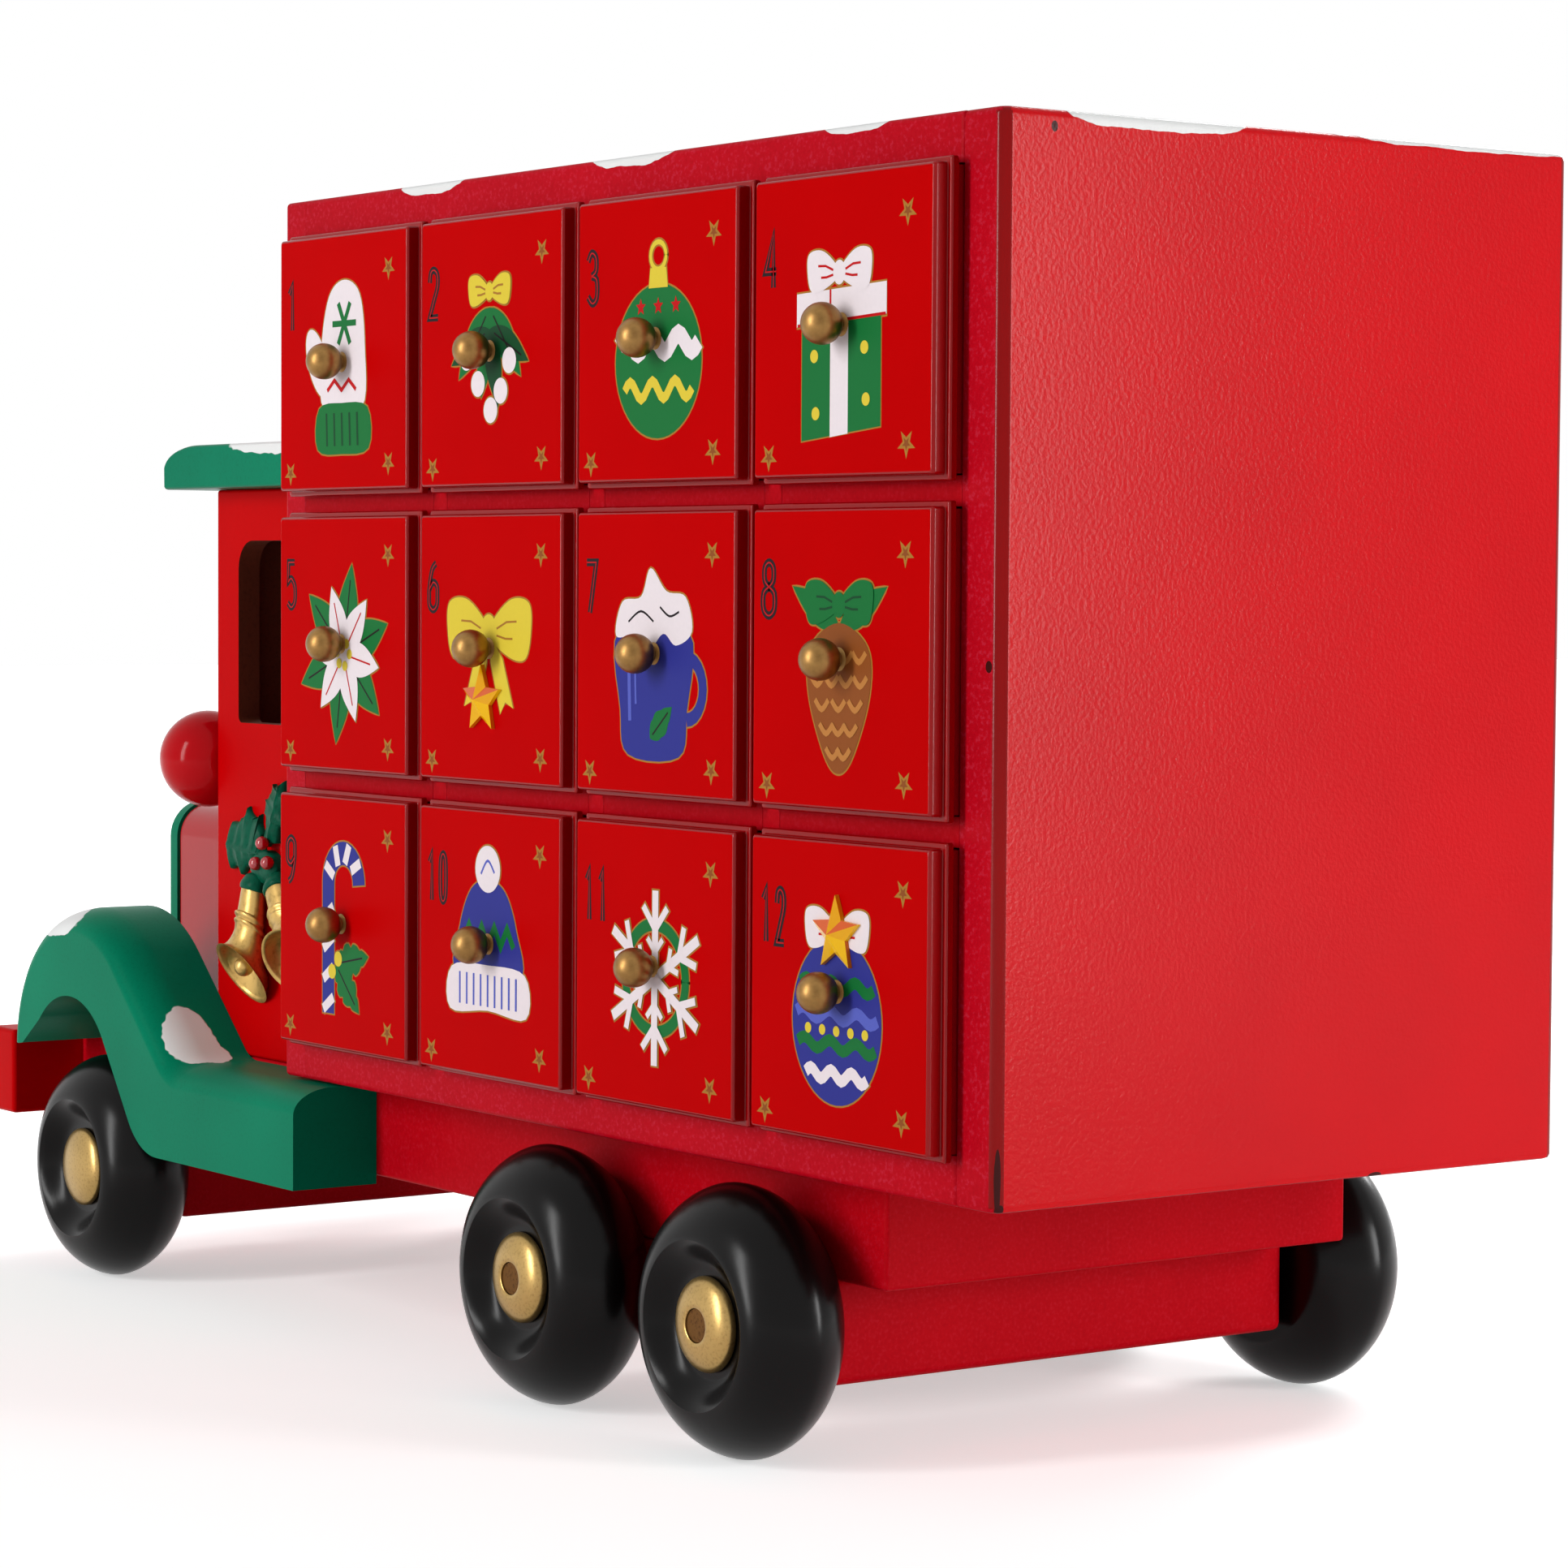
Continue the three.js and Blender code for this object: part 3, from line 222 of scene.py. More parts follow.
def eased_boards(nodes, ease, materials):
    """The boards of one glued body, with its outer corners eased. Faces that lie inside the body
    take the second material."""
    low, high = limits(nodes)

    def outer_planes(corner):
        return {(axis, end) for axis in range(3) for end, outer in enumerate((low, high))
                if abs(corner.co[axis] - outer[axis]) < OUTER_PLANE}

    for node in nodes:
        bm = bmesh.new()
        bm.from_mesh(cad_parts[node].data)
        bmesh.ops.remove_doubles(bm, verts=bm.verts, dist=1e-7)
        bm.transform(Matrix.Scale(1 / MM, 4))
        bmesh.ops.dissolve_limit(bm, angle_limit=math.radians(1), verts=bm.verts, edges=bm.edges)
        edges = [e for e in bm.edges if len(outer_planes(e.verts[0]) & outer_planes(e.verts[1])) >= 2]
        for face in bm.faces:
            outside = set.intersection(*[outer_planes(corner) for corner in face.verts])
            face.material_index = 0 if outside or len(materials) == 1 else 1
        bmesh.ops.bevel(bm, geom=edges, offset=ease, segments=3, profile=0.5, affect="EDGES",
                        clamp_overlap=True)
        put(node + "_painted", bm, materials, "truck", [node])


# Enamel sprayed on sanded board: a soft even sheen, with pale specks painted in as painted highlights of the
# fibres.
crimson = enamel("crimson_enamel", "#BC0414", "#A00010", roughness=0.45, gloss=0.03,
                 speck=(0.7, 0.3), ripple=(2.5, 0.03), fibre_glints=("#C83048", 0.16))
eased_boards(["chassis_plank"], PLANK_EASE, [crimson])
for block in ("rear_axle_block", "front_axle_block"):
    eased_boards([block], BLOCK_EASE, [crimson])


# Wheels: turned from one block of wood each, fat and round in the tread, dished on the outer
# face, dipped in black gloss. A dowel with a domed hub glued on each end joins two of them.
WHEEL_RADIUS = 24.1
WHEEL_HALF_WIDTH = 10.3
WHEEL_RIM_RADIUS = 14.9
WHEEL_SHOULDER = 1.7  # 1 would be a pointed tread and 2 a half ellipse
WHEEL_BORE = 3.5
WHEEL_SIDE = 64.6  # middle of the wheel from the middle of the truck
DISH_RADIUS = 9.4
DISH_DEPTH = 3.9
DISH_ROUND = 1.4  # how softly the dish begins at its rim
HUB_RADIUS = 8.4
HUB_CHAMFER = 0.25
HUB_EDGE = 0.6
HUB_DOME = 2.548
EYE_RADIUS = 3.05
EYE_EASE = 0.2
EYE_LIP = 2.418  # height of the eye's edge over the hub's
DOWEL_STAND = 2.132  # and of the dowel's end
DOWEL_CHAMFER = 0.15
AXLE_RADIUS = 3.4


def lathe(profile, sides=64):
    """A turned solid about the y axis from (radius, y) pairs; radius 0 closes it with a point."""
    bm = bmesh.new()
    rings = []
    for radius, along in profile:
        if radius < 1e-6:
            rings.append([bm.verts.new((0, along, 0))])
            continue
        turn = [2 * math.pi * i / sides for i in range(sides)]
        rings.append([bm.verts.new((radius * math.cos(t), along, radius * math.sin(t))) for t in turn])
    for first, second in zip(rings, rings[1:]):
        for i in range(sides):
            corners = [first[i % len(first)], first[(i + 1) % len(first)]]
            corners += [second[(i + 1) % len(second)], second[i % len(second)]]
            corners = list(dict.fromkeys(corners))
            if len(corners) > 2:
                bm.faces.new(corners)
    return bm


def wheel_profile():
    """From the bore over the fat tread and down the dish, back to the bore."""
    tread = WHEEL_RADIUS - WHEEL_RIM_RADIUS
    power = 2 / WHEEL_SHOULDER
    profile = [(WHEEL_BORE, -WHEEL_HALF_WIDTH)]
    for i in range(33):
        angle = math.pi * (i / 32 - 0.5)
        across = math.copysign(abs(math.sin(angle)) ** power, angle) * WHEEL_HALF_WIDTH
        profile.append((WHEEL_RIM_RADIUS + tread * max(math.cos(angle), 0) ** power, across))
    for i in range(1, 9):
        share = i / 8
        deep = DISH_DEPTH * math.sin(share * math.pi / 2) ** DISH_ROUND
        profile.append((WHEEL_RIM_RADIUS + (DISH_RADIUS - WHEEL_RIM_RADIUS) * share, WHEEL_HALF_WIDTH - deep))
    return profile + [(WHEEL_BORE, WHEEL_HALF_WIDTH - DISH_DEPTH), (WHEEL_BORE, -WHEEL_HALF_WIDTH)]


def hub_profile(seat, open_eye):
    """A full dome; a hub with an open eye shows the end of the dowel."""
    rim = seat + HUB_EDGE
    half = [(AXLE_RADIUS, seat), (HUB_RADIUS - HUB_CHAMFER, seat), (HUB_RADIUS, seat + HUB_CHAMFER)]
    inner = EYE_RADIUS + EYE_EASE if open_eye else 0
    for i in range(15):
        angle = math.pi / 2 * i / 14
        half.append((inner + (HUB_RADIUS - inner) * math.cos(angle), rim + HUB_DOME * math.sin(angle)))
    return half + ([(EYE_RADIUS, rim + EYE_LIP), (EYE_RADIUS, rim)] if open_eye else [])


# Black gloss enamel, dipped: near black, with a crisp wet highlight round the tread.
black_gloss = enamel("black_gloss_on_wood", "#080606", "#030202", roughness=0.24, gloss=0.14,
                     speck=(0.5, 0.1), ripple=(3.0, 0.03))
# Metallic gold paint: bronze flakes in lacquer, so it shines warm but blurs what it mirrors.
gold_paint = enamel("metallic_gold_paint", "#B6965A", "#8A6C3C", roughness=0.3, gloss=0.5,
                    speck=(0.5, 0.5), ripple=(1.2, 0.03), metallic=0.8)
# End grain of a stained dowel: dull, brown, and darker in its pores.
bare_dowel = enamel("stained_end_grain", "#6E4A22", "#4A2C10", roughness=0.6, gloss=0.1,
                    speck=(0.5, 0.8), ripple=(0.7, 0.05))

hub_seat = WHEEL_SIDE + WHEEL_HALF_WIDTH - DISH_DEPTH
for place in ("front", "middle", "rear"):
    body = place + "_wheels"
    low, high = limits(["axle_" + place])
    axle = Matrix.Translation(Vector(((low.x + high.x) / 2, 0, (low.z + high.z) / 2)) * MM)
    for side, turn in (("left", 0), ("right", math.pi)):
        at = axle @ Matrix.Rotation(turn, 4, "Z")
        wheel = lathe(wheel_profile(), 72)
        wheel.transform(Matrix.Translation((0, WHEEL_SIDE, 0)))
        put(f"wheel_{place}_{side}_turned", wheel, [black_gloss], body,
            [f"wheel_{place}_{side}"], at)
        hub = lathe(hub_profile(hub_seat, open_eye=place != "front"), 48)
        put(f"hub_{place}_{side}", hub, [gold_paint], body, (), at, sharp=50)
    tip = hub_seat + HUB_EDGE + DOWEL_STAND
    end = [(0, tip), (EYE_RADIUS - DOWEL_CHAMFER, tip), (EYE_RADIUS, tip - 2 * DOWEL_CHAMFER)]
    dowel = lathe([(radius, -along) for radius, along in end] + end[::-1], 32)
    put(f"dowel_{place}", dowel, [bare_dowel], body, [f"axle_{place}"], axle)


# Box: four boards of MDF glued round an egg-crate of shelves and dividers, all painted crimson.
# White snow is dabbed along the top edges; the rear board is rolled with a thick gloss coat.
BOX_BOARDS = ["box_top", "box_bottom", "box_front_end"]
CRATE = ["shelf_lower", "shelf_upper", "divider_rear", "divider_middle", "divider_front"]
BOX_EASE = 0.9
EDGE_SNOW = [
    ((-3, 63, 228.5), (13, 9, 2.2)),
    ((-74, 62, 228.5), (14, 10, 2.0)),
    ((-140, 62, 228.5), (10, 8, 1.5)),
    ((-180, 33, 228.5), (9, 21, 2.4)),
    ((-180, -40, 228.5), (7, 30, 1.2)),
    ((30, -62, 228.5), (16, 9, 2.2)),
    ((-60, -62, 228.5), (12, 8, 1.8)),
    ((-120, -62, 228.5), (15, 10, 2.0)),
    ((54, -12, 228.5), (8, 18, 2.2)),
]
CHIPS = [
    ((-180, 52.8, 225.6), (2.2, 0.7, 0.9)),
    ((-177.5, 63.3, 139), (0.8, 0.8, 1.0)),
    ((-180, 62.4, 56), (1.6, 0.5, 5.5)),
    ((-180, 61.9, 51.6), (1.2, 0.6, 0.9)),
    ((-180, -20, 51.2), (1.2, 1.6, 0.6)),
    ((-150, -63.3, 224), (1.4, 1.0, 0.7)),
]
CORNER_RADIUS = 2.2
FOOT_EASE = [(0.9, 0), (0.26, 0.26), (0, 0.9), (0, 1.2)]  # inset, and height over the foot
HEAD_EASE = [(0, 1.7), (0, 1.3), (0.1, 0.8), (0.38, 0.38), (0.8, 0.1), (1.3, 0)]  # and depth below the top
# Enamel sprayed on the sanded sides: a soft sheen, with more painted fibre highlights than on the chassis.
box_paint = enamel("crimson_enamel_with_snow", "#BC041A", "#A00012", roughness=0.45, gloss=0.04,
                   speck=(0.7, 0.3), ripple=(2.5, 0.03), fibre_glints=("#CC3A56", 0.3), snow=EDGE_SNOW, chips=CHIPS)
# Gloss enamel laid on with a roller: brighter, with a broad sheen broken by the roller's stipple.
rear_paint = enamel("rolled_gloss_red", "#CC020E", "#B8000C", roughness=0.22, gloss=0.1,
                    speck=(0.9, 0.1), ripple=(0.8, 0.1), snow=EDGE_SNOW, chips=CHIPS)
# The same gloss on the rounded corners, painted darker: painted shade for the dark band the corners show,
# with a hard highlight from the gloss itself.
corner_band_painted_shade = enamel("gloss_red_on_corners_painted_dark", "#900002", "#7E0002", roughness=0.15, gloss=0.12,
                    speck=(0.9, 0.1), ripple=(2.5, 0.02), snow=EDGE_SNOW, chips=CHIPS)
eased_boards(BOX_BOARDS, BOX_EASE, [box_paint])


def loft(rings):
    """Joins rings of points, all of one count, with quads, and caps the ends."""
    bm = bmesh.new()
    loops = [[bm.verts.new(point) for point in ring] for ring in rings]
    count = len(loops[0])
    for first, second in zip(loops, loops[1:]):
        for i in range(count):
            j = (i + 1) % count
            bm.faces.new((first[i], first[j], second[j], second[i]))
    bm.faces.new(loops[0][::-1])
    bm.faces.new(loops[-1])
    return bm


def rear_ring(low, high, inset, z):
    """The rear board from above at one height, its two outer corners rounded over."""
    ring = [(high.x, high.y - inset, z), (high.x, low.y + inset, z)]
    radius = CORNER_RADIUS - inset / 2
    middle = high.y - inset - radius
    for side in (-1, 1):
        for i in range(13):
            angle = math.pi / 2 * (i / 12 if side < 0 else 1 - i / 12)
            behind = low.x + inset + radius * (1 - math.sin(angle))
            ring.append((behind, side * (middle + radius * math.cos(angle)), z))
    return ring


low, high = limits(["box_rear_end"])
ends = [(inset, low.z + up) for inset, up in FOOT_EASE]
ends += [(inset, high.z - down) for inset, down in HEAD_EASE]
rear_board = loft([rear_ring(low, high, inset, z) for inset, z in ends])
rear_board.normal_update()
bmesh.ops.recalc_face_normals(rear_board, faces=rear_board.faces)
for face in rear_board.faces:  # the back is rolled, its corners take the band painted darker as painted shade, and the rest is sprayed
    turned_out = abs(face.normal.y)
    if face.normal.x < -0.5:
        face.material_index = 1 if turned_out < 0.16 else 2
    elif turned_out < 0.98 and abs(face.normal.z) < 0.3 and face.normal.x < -0.1:
        face.material_index = 2
put("rear_board", rear_board, [box_paint, rear_paint, corner_band_painted_shade], "truck", ["box_rear_end"])
for node in CRATE:
    cell_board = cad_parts[node]
    cell_board.data.materials.clear()
    cell_board.data.materials.append(crimson)


# Drawers: a square MDF front with a stepped edge, sprayed and screen-printed, its back rebated
# into the cell, on a plywood tray that runs to the middle of the box, with a turned brass knob.
FIELD_FACE = 69.3  # printed face from the middle of the truck
FIELD_HALF = 25.0
FIELD_STEP = 2.7
FIELD_EASE = 0.7
LIP_HALF = 26.0
LIP_BACK = 4.4
LIP_EASE = 0.45
BACK_EASE = 0.3
STEP_EASE = 0.12
FACE_RIM = 0.15  # a last ring that keeps the printed face flat
REBATE_FRONT = 4.2
REBATE_BACK = 7.4
TRAY_HALF = 24.7
TRAY_FOOT = -24.8
TRAY_HEAD = 19.2
TRAY_REACH = 69.1
TRAY_WALL = 3.0
TRAY_EASE = 0.4
KNOB_RADIUS = 3.55
KNOB_REACH = 4.0
KNOB_NECK = 1.5
KNOB_FOOT = 2.0  # a small ring against the face, under the neck


def round_square(half, out, corner=0.5, steps=4):
    """A square ring with small round corners at one distance from the printed face."""
    points = []
    for quarter in range(4):
        for i in range(steps + 1):
            angle = math.pi / 2 * (quarter + i / steps)
            across = (half - corner) * (1 if quarter in (0, 3) else -1) + corner * math.cos(angle)
            up = (half - corner) * (1 if quarter in (0, 1) else -1) + corner * math.sin(angle)
            points.append((across, up, out))
    return points


def eased_edge(half, out, radius, steps=5):
    """The rings of a rounded-over edge, from the side wall up to the face."""
    rings = []
    for i in range(steps + 1):
        angle = math.pi / 2 * i / steps
        inset, below = radius * (1 - math.cos(angle)), radius * (1 - math.sin(angle))
        rings.append(round_square(half - inset, out - below))
    return rings


# Screen-printing ink over the sprayed face: flat, almost without shine, and hardly rippled.
print_red = enamel("satin_screen_print_red", "#C00103", "#B00003", roughness=0.4, gloss=0.01,
                   speck=(0.35, 0.12), ripple=(0.9, 0.008))
# Enamel on the sawn and sanded edges, painted darker as painted shade on the walls that face away from the
# light, and glossy enough to draw a light line round them.
drawer_edge_painted_shade = enamel("sprayed_edge_red_painted_dark", "#9C0004", "#8A0004", roughness=0.16, gloss=0.2,
                  speck=(0.6, 0.2), ripple=(1.2, 0.012))
# Overspray in the rebate: matt and speckled red, painted darker as painted shade in the gap behind the lip.
rebate_red_painted_shade = enamel("red_in_the_rebate_painted_dark", "#A0000C", "#80000A", roughness=0.5, gloss=0.1,
                   speck=(0.6, 0.3), ripple=(1.2, 0.02))

front = loft(
    [round_square(LIP_HALF - BACK_EASE, -LIP_BACK), round_square(LIP_HALF, BACK_EASE - LIP_BACK)]
    + eased_edge(LIP_HALF, -FIELD_STEP, LIP_EASE)
    + [round_square(FIELD_HALF + STEP_EASE, -FIELD_STEP), round_square(FIELD_HALF, STEP_EASE - FIELD_STEP)]
    + eased_edge(FIELD_HALF, 0, FIELD_EASE)
    + [round_square(FIELD_HALF - FIELD_EASE - FACE_RIM, 0)]
)
for face in front.faces:  # only the flat face is printed
    face.material_index = 0 if face.calc_center_median().z > -0.02 else 1
front_mesh = as_mesh("drawer_front", front, [print_red, drawer_edge_painted_shade])
corners = [(-TRAY_HALF, TRAY_FOOT), (TRAY_HALF, TRAY_FOOT), (TRAY_HALF, TRAY_HALF), (-TRAY_HALF, TRAY_HALF)]
rebate = loft([[(across, up, out) for across, up in corners] for out in (-REBATE_FRONT, -REBATE_BACK)])
rebate_mesh = as_mesh("drawer_rebate", rebate, [rebate_red_painted_shade])

# Birch plywood, sanded and left bare: pale and matt, with fine long grain that curls a little.
PLY_GRAIN = (2.2, 2.2, 40)  # width and length of the grain
plywood, tree, shader = new_material("birch_plywood", 0.62, Specular_IOR_Level=0.25)
place = add_node(tree, "TexCoord").outputs["Object"]
long = add_node(tree, "Mapping", {"Vector": place, "Scale": [1 / (size * MM) for size in PLY_GRAIN]})
grain = add_node(tree, "TexNoise", {"Vector": long, "Scale": 1.0, "Detail": 5.0, "Distortion": 0.4})
pale_and_dark = {"Factor": grain, "A": linear("#D8B98A"), "B": linear("#A87C4A")}
tint = add_node(tree, "Mix", pale_and_dark, data_type="RGBA")
bump = add_node(tree, "Bump", {"Height": grain, "Strength": 0.4, "Distance": 0.05 * MM})
tree.links.new(tint.outputs[2], shader.inputs["Base Color"])
tree.links.new(bump.outputs[0], shader.inputs["Normal"])

tray_rings = []
for inset, gap, up in ((0, 0, TRAY_FOOT), (0, 0, TRAY_HEAD - TRAY_EASE), (TRAY_EASE, 0, TRAY_HEAD),
                       (TRAY_WALL, TRAY_EASE, TRAY_HEAD), (TRAY_WALL, TRAY_EASE, TRAY_FOOT + TRAY_WALL)):
    half, back, ahead = TRAY_HALF - inset, inset - TRAY_REACH, -REBATE_BACK - gap
    tray_rings.append([(-half, up, back), (half, up, back), (half, up, ahead), (-half, up, ahead)])
tray_mesh = as_mesh("drawer_tray", loft(tray_rings), [plywood])

# Turned brass, aged by hands: yellow where it is bright, brown and duller where it has tarnished.
brass, tree, shader = new_material("aged_brass", 0.3, Metallic=1.0)
place = add_node(tree, "TexCoord").outputs["Object"]
tarnish = add_node(tree, "TexNoise", {"Vector": place, "Scale": 1 / (2.4 * MM), "Detail": 4.0})
bright_and_brown = {"Factor": tarnish, "A": linear("#B08850"), "B": linear("#5A3E20")}
tone = add_node(tree, "Mix", bright_and_brown, data_type="RGBA")
dull = add_node(tree, "MapRange", {"Value": tarnish, "To Min": 0.3, "To Max": 0.5})
tree.links.new(tone.outputs[2], shader.inputs["Base Color"])
tree.links.new(dull.outputs[0], shader.inputs["Roughness"])

neck_angle = math.asin(KNOB_NECK / KNOB_RADIUS)
knob_profile = [(0, -1), (KNOB_FOOT, -1), (KNOB_FOOT, 0.1), (KNOB_NECK, 0.5)]
for i in range(17):
    angle = neck_angle + (math.pi - neck_angle) * i / 16
    radius = KNOB_RADIUS * math.sin(angle) if i < 16 else 0
    knob_profile.append((radius, KNOB_REACH - KNOB_RADIUS * math.cos(angle)))
knob = lathe(knob_profile, 32)
knob.transform(Matrix.Rotation(math.pi / 2, 4, "X"))
knob_mesh = as_mesh("drawer_knob", knob, [brass])


def drawer_place(number):
    """From a drawer's own axes (right as it is read, up, out) to the truck's."""
    low, high = limits([f"drawer_{number:02d}"])
    side = 1 if high.y > 0 and low.y > -1 else -1
    axes = Matrix(((-side, 0, 0), (0, 0, side), (0, 1, 0))).to_4x4()
    centre = Vector(((low.x + high.x) / 2, side * FIELD_FACE, (low.z + high.z) / 2))
    return Matrix.Translation(centre * MM) @ axes


for number in range(1, 25):
    body = f"drawer_{number:02d}"
    at = drawer_place(number)
    put_mesh(f"front_{number:02d}", front_mesh, body, [body], at)
    for part, mesh in (("rebate", rebate_mesh), ("tray", tray_mesh), ("knob", knob_mesh)):
        put_mesh(f"{part}_{number:02d}", mesh, body, (), at)


# Prints: flat screen-printed inks on the drawer fronts, each motif with a thin gold key line, a
# number in the top left corner and a small hollow star in the other three.
INK_STEP = 0.012  # each ink lies this much over the last, in mm
KEY_RISE = 0.1  # and overlapping shapes of one ink this share of a step
INK_RISE = 0.5
KEY_LINE = 0.32
NUMBER_LEFT = -21.7
NUMBER_FOOT = 7.0
NUMBER_HEIGHT = 9.0
DIGIT_PITCH = 4.4
DIGIT_WIDTHS = {1: 3.1, 2: 2.1}  # by how many digits the number has
DIGIT_STROKE = 1.4
DIGIT_CORE = 0.26
DIGIT_LEVEL = 2.5  # in ink steps
DIGIT_CORE_LEVEL = 4
DIGIT_RISE = 0.3
CORNER_STARS = [(18, 17.5), (18, -20), (-20.5, -21.5)]
STAR_GOLD = (2.5, 1.0)  # radius of the tips and of the notches
STAR_HOLLOW = (1.2, 0.5)
INK_COLOURS = {
    "white": "#EADFE3",
    "green": "#0B6A30",
    "pine": "#064020",
    "yellow": "#DCC53C",
    "blue": "#2C3088",
    "sky": "#5660BC",
    "brown": "#8A4A1C",
    "tan": "#B97A3C",
    "gold": "#A8742C",
    "dark": "#14060E",
    "red": "#BE0610",
}


def ink(name, colour):
    """Opaque screen-printing ink: flat colour with a faint mottle, a touch duller than the paint."""
    material, tree, shader = new_material(name, 0.5, Specular_IOR_Level=0.1)
    place = add_node(tree, "TexCoord").outputs["Object"]
    mottle = add_node(tree, "TexNoise", {"Vector": place, "Scale": 1 / (0.8 * MM), "Detail": 3.0})
    thin = add_node(tree, "MapRange", {"Value": mottle, "From Min": 0.4, "To Max": 0.18})
    under = [0.8 * c for c in linear(colour)[:3]] + [1.0]
    tone = add_node(tree, "Mix", {"Factor": thin, "A": linear(colour), "B": under}, data_type="RGBA")
    tree.links.new(tone.outputs[2], shader.inputs["Base Color"])
    return material


INKS = {name: ink(name + "_ink", colour) for name, colour in INK_COLOURS.items()}
INK_NAMES = list(INK_COLOURS)


def turned(points, u, v, turn):
    """Points swung by an angle in degrees and set at u, v."""
    c, s = math.cos(math.radians(turn)), math.sin(math.radians(turn))
    return [(u + c * a - s * b, v + s * a + c * b) for a, b in points]


def ellipse(u, v, ru, rv=None, turn=0, steps=36):
    rv = ru if rv is None else rv
    angles = [2 * math.pi * i / steps for i in range(steps)]
    return turned([(ru * math.cos(t), rv * math.sin(t)) for t in angles], u, v, turn)


def arc(centre, radius, start, end, steps):
    """Points on an arc in a plane, with its angles in radians."""
    angles = [start + (end - start) * i / steps for i in range(steps + 1)]
    return [Vector((centre[0] + radius * math.cos(a), centre[1] + radius * math.sin(a))) for a in angles]


def smooth(points, steps=6, closed=True):
    """A curve through a few points."""
    out = []
    count = len(points)
    for i in range(count if closed else count - 1):
        picks = [(i + k) % count if closed else min(max(i + k, 0), count - 1) for k in (-1, 0, 1, 2)]
        near = [points[k] for k in picks]
        for step in range(steps):
            t = step / steps
            weights = (-t**3 + 2 * t**2 - t, 3 * t**3 - 5 * t**2 + 2, -3 * t**3 + 4 * t**2 + t, t**3 - t**2)
            out.append(tuple(sum(w * p[k] for w, p in zip(weights, near)) / 2 for k in (0, 1)))
    return out if closed else out + [points[-1]]


def pen(*points, steps=4):
    """A smooth brush line through a few points."""
    return smooth(points, steps, closed=False)


def leaf(u, v, length, width, turn, spines=0):
    """A leaf from its stalk at u, v; spines make it holly."""
    side = []
    for i in range(1, 16):
        t = i / 16
        out = math.sin(math.pi * t**0.8) * width / 2
        if spines:
            out *= 0.72 + 0.28 * abs(math.sin(math.pi * spines * t)) ** 0.4
        side.append((t * length, out))
    return turned([(0, 0)] + side + [(length, 0)] + [(a, -b) for a, b in side[::-1]], u, v, turn)


def vein(u, v, length, turn, colour="dark"):
    """The line along the middle of a printed leaf."""
    return (colour, turned([(share * length, 0) for share in (0.12, 0.5, 0.82)], u, v, turn), 0.35)


def star(u, v, outer, inner, points=5, turn=90):
    corners = [(inner if i % 2 else outer, math.radians(turn + 180 * i / points)) for i in range(2 * points)]
    return [(u + radius * math.cos(angle), v + radius * math.sin(angle)) for radius, angle in corners]


def ripple_line(left, right, level, height):
    """A line of three waves from left to right."""
    return [(left + (right - left) * i / 24, level + height * math.sin(math.pi * i / 4)) for i in range(25)]


BOW_TAIL = [(0, 0), (0.35, -0.35), (0.62, -1.0), (0.42, -0.92), (0.3, -1.08), (0.05, -0.4)]
BOW_LOOP = [(0, 0), (0.5, 0.42), (1.0, 0.4), (1.05, 0), (0.9, -0.35), (0.45, -0.3)]
BOW_CREASES = [[(0.2, 0.05), (0.45, 0.14), (0.7, 0.15)], [(0.2, -0.04), (0.42, -0.08), (0.6, -0.08)]]


def bow(u, v, size, colour, line, tails=False):
    """A tied ribbon bow: two loops, a knot and two tails, with creases drawn in."""

    def placed(points, side):
        return [(u + side * size * a, v + size * b) for a, b in points]

    shapes = []
    for side in (-1, 1):
        if tails:
            shapes.append((colour, placed(BOW_TAIL, side)))
        shapes.append((colour, smooth(placed(BOW_LOOP, side))))
    shapes.append((colour, ellipse(u, v, size * 0.2, size * 0.24)))
    return shapes + [(line, placed(crease, side), 0.4) for side in (-1, 1) for crease in BOW_CREASES]


def mitten():
    return [
        ("white", ellipse(-9.5, 0, 3.6, 7.5, 28)),
        ("white", smooth([(-7, -9), (-8, 3), (-5, 13), (1, 16), (7, 13), (9, 3), (8, -9)])),
        ("green", smooth([(-9, -9), (0, -8), (10, -9), (10.5, -17), (0, -18), (-9.5, -17)], 4)),
        *[("pine", [(x, -9.9), (x + 0.3, -16.4)], 0.7) for x in (-6, -3, 0, 3, 6)],
        *[("green", [(1 - 4.6 * c, 7.5 - 4.6 * s), (1 + 4.6 * c, 7.5 + 4.6 * s)], 1.2)
          for c, s in ((1, 0), (0.5, 0.87), (-0.5, 0.87))],
        ("red", [(-5.6, -5.5), (-2.8, -3.5), (0, -5.5), (2.8, -3.5), (5.6, -5.5)], 0.8),
    ]


def mistletoe():
    return [
        *[("green", leaf(0, 8, 17, 6.5, turn)) for turn in (-130, -50, -100)],
        *[("pine", leaf(0, 4, 15, 5.5, turn)) for turn in (-155, -25, -78)],
        *[vein(0, 8, 17, turn) for turn in (-130, -50)],
        *[vein(0, 4, 15, turn) for turn in (-155, -25)],
        *[("white", ellipse(u, v, 2.4)) for u, v in ((-4, -6), (4, -7.5), (0.5, -11), (7, -2), (-8, -1))],
        *bow(0, 11, 7, "yellow", "gold"),
    ]


def bauble():
    wave = ripple_line(-11.6, 13.6, -1, 1.5)
    return [
        ("green", ellipse(1, -4, 13.5, steps=48)),
        ("white", wave, 3.2),
        ("yellow", [(u * 0.84 + 0.2, v - 8) for u, v in wave], 1.8),
        *[("red", star(u, 5.6, 1.6, 0.7)) for u in (-4.5, 1, 6.5)],
        ("yellow", [(-2, 8.8), (4, 8.8), (3.5, 12.3), (-1.5, 12.3)]),
        ("yellow", arc((1, 14.4), 2.4, 0, 2 * math.pi, 20), 0.9),
    ]


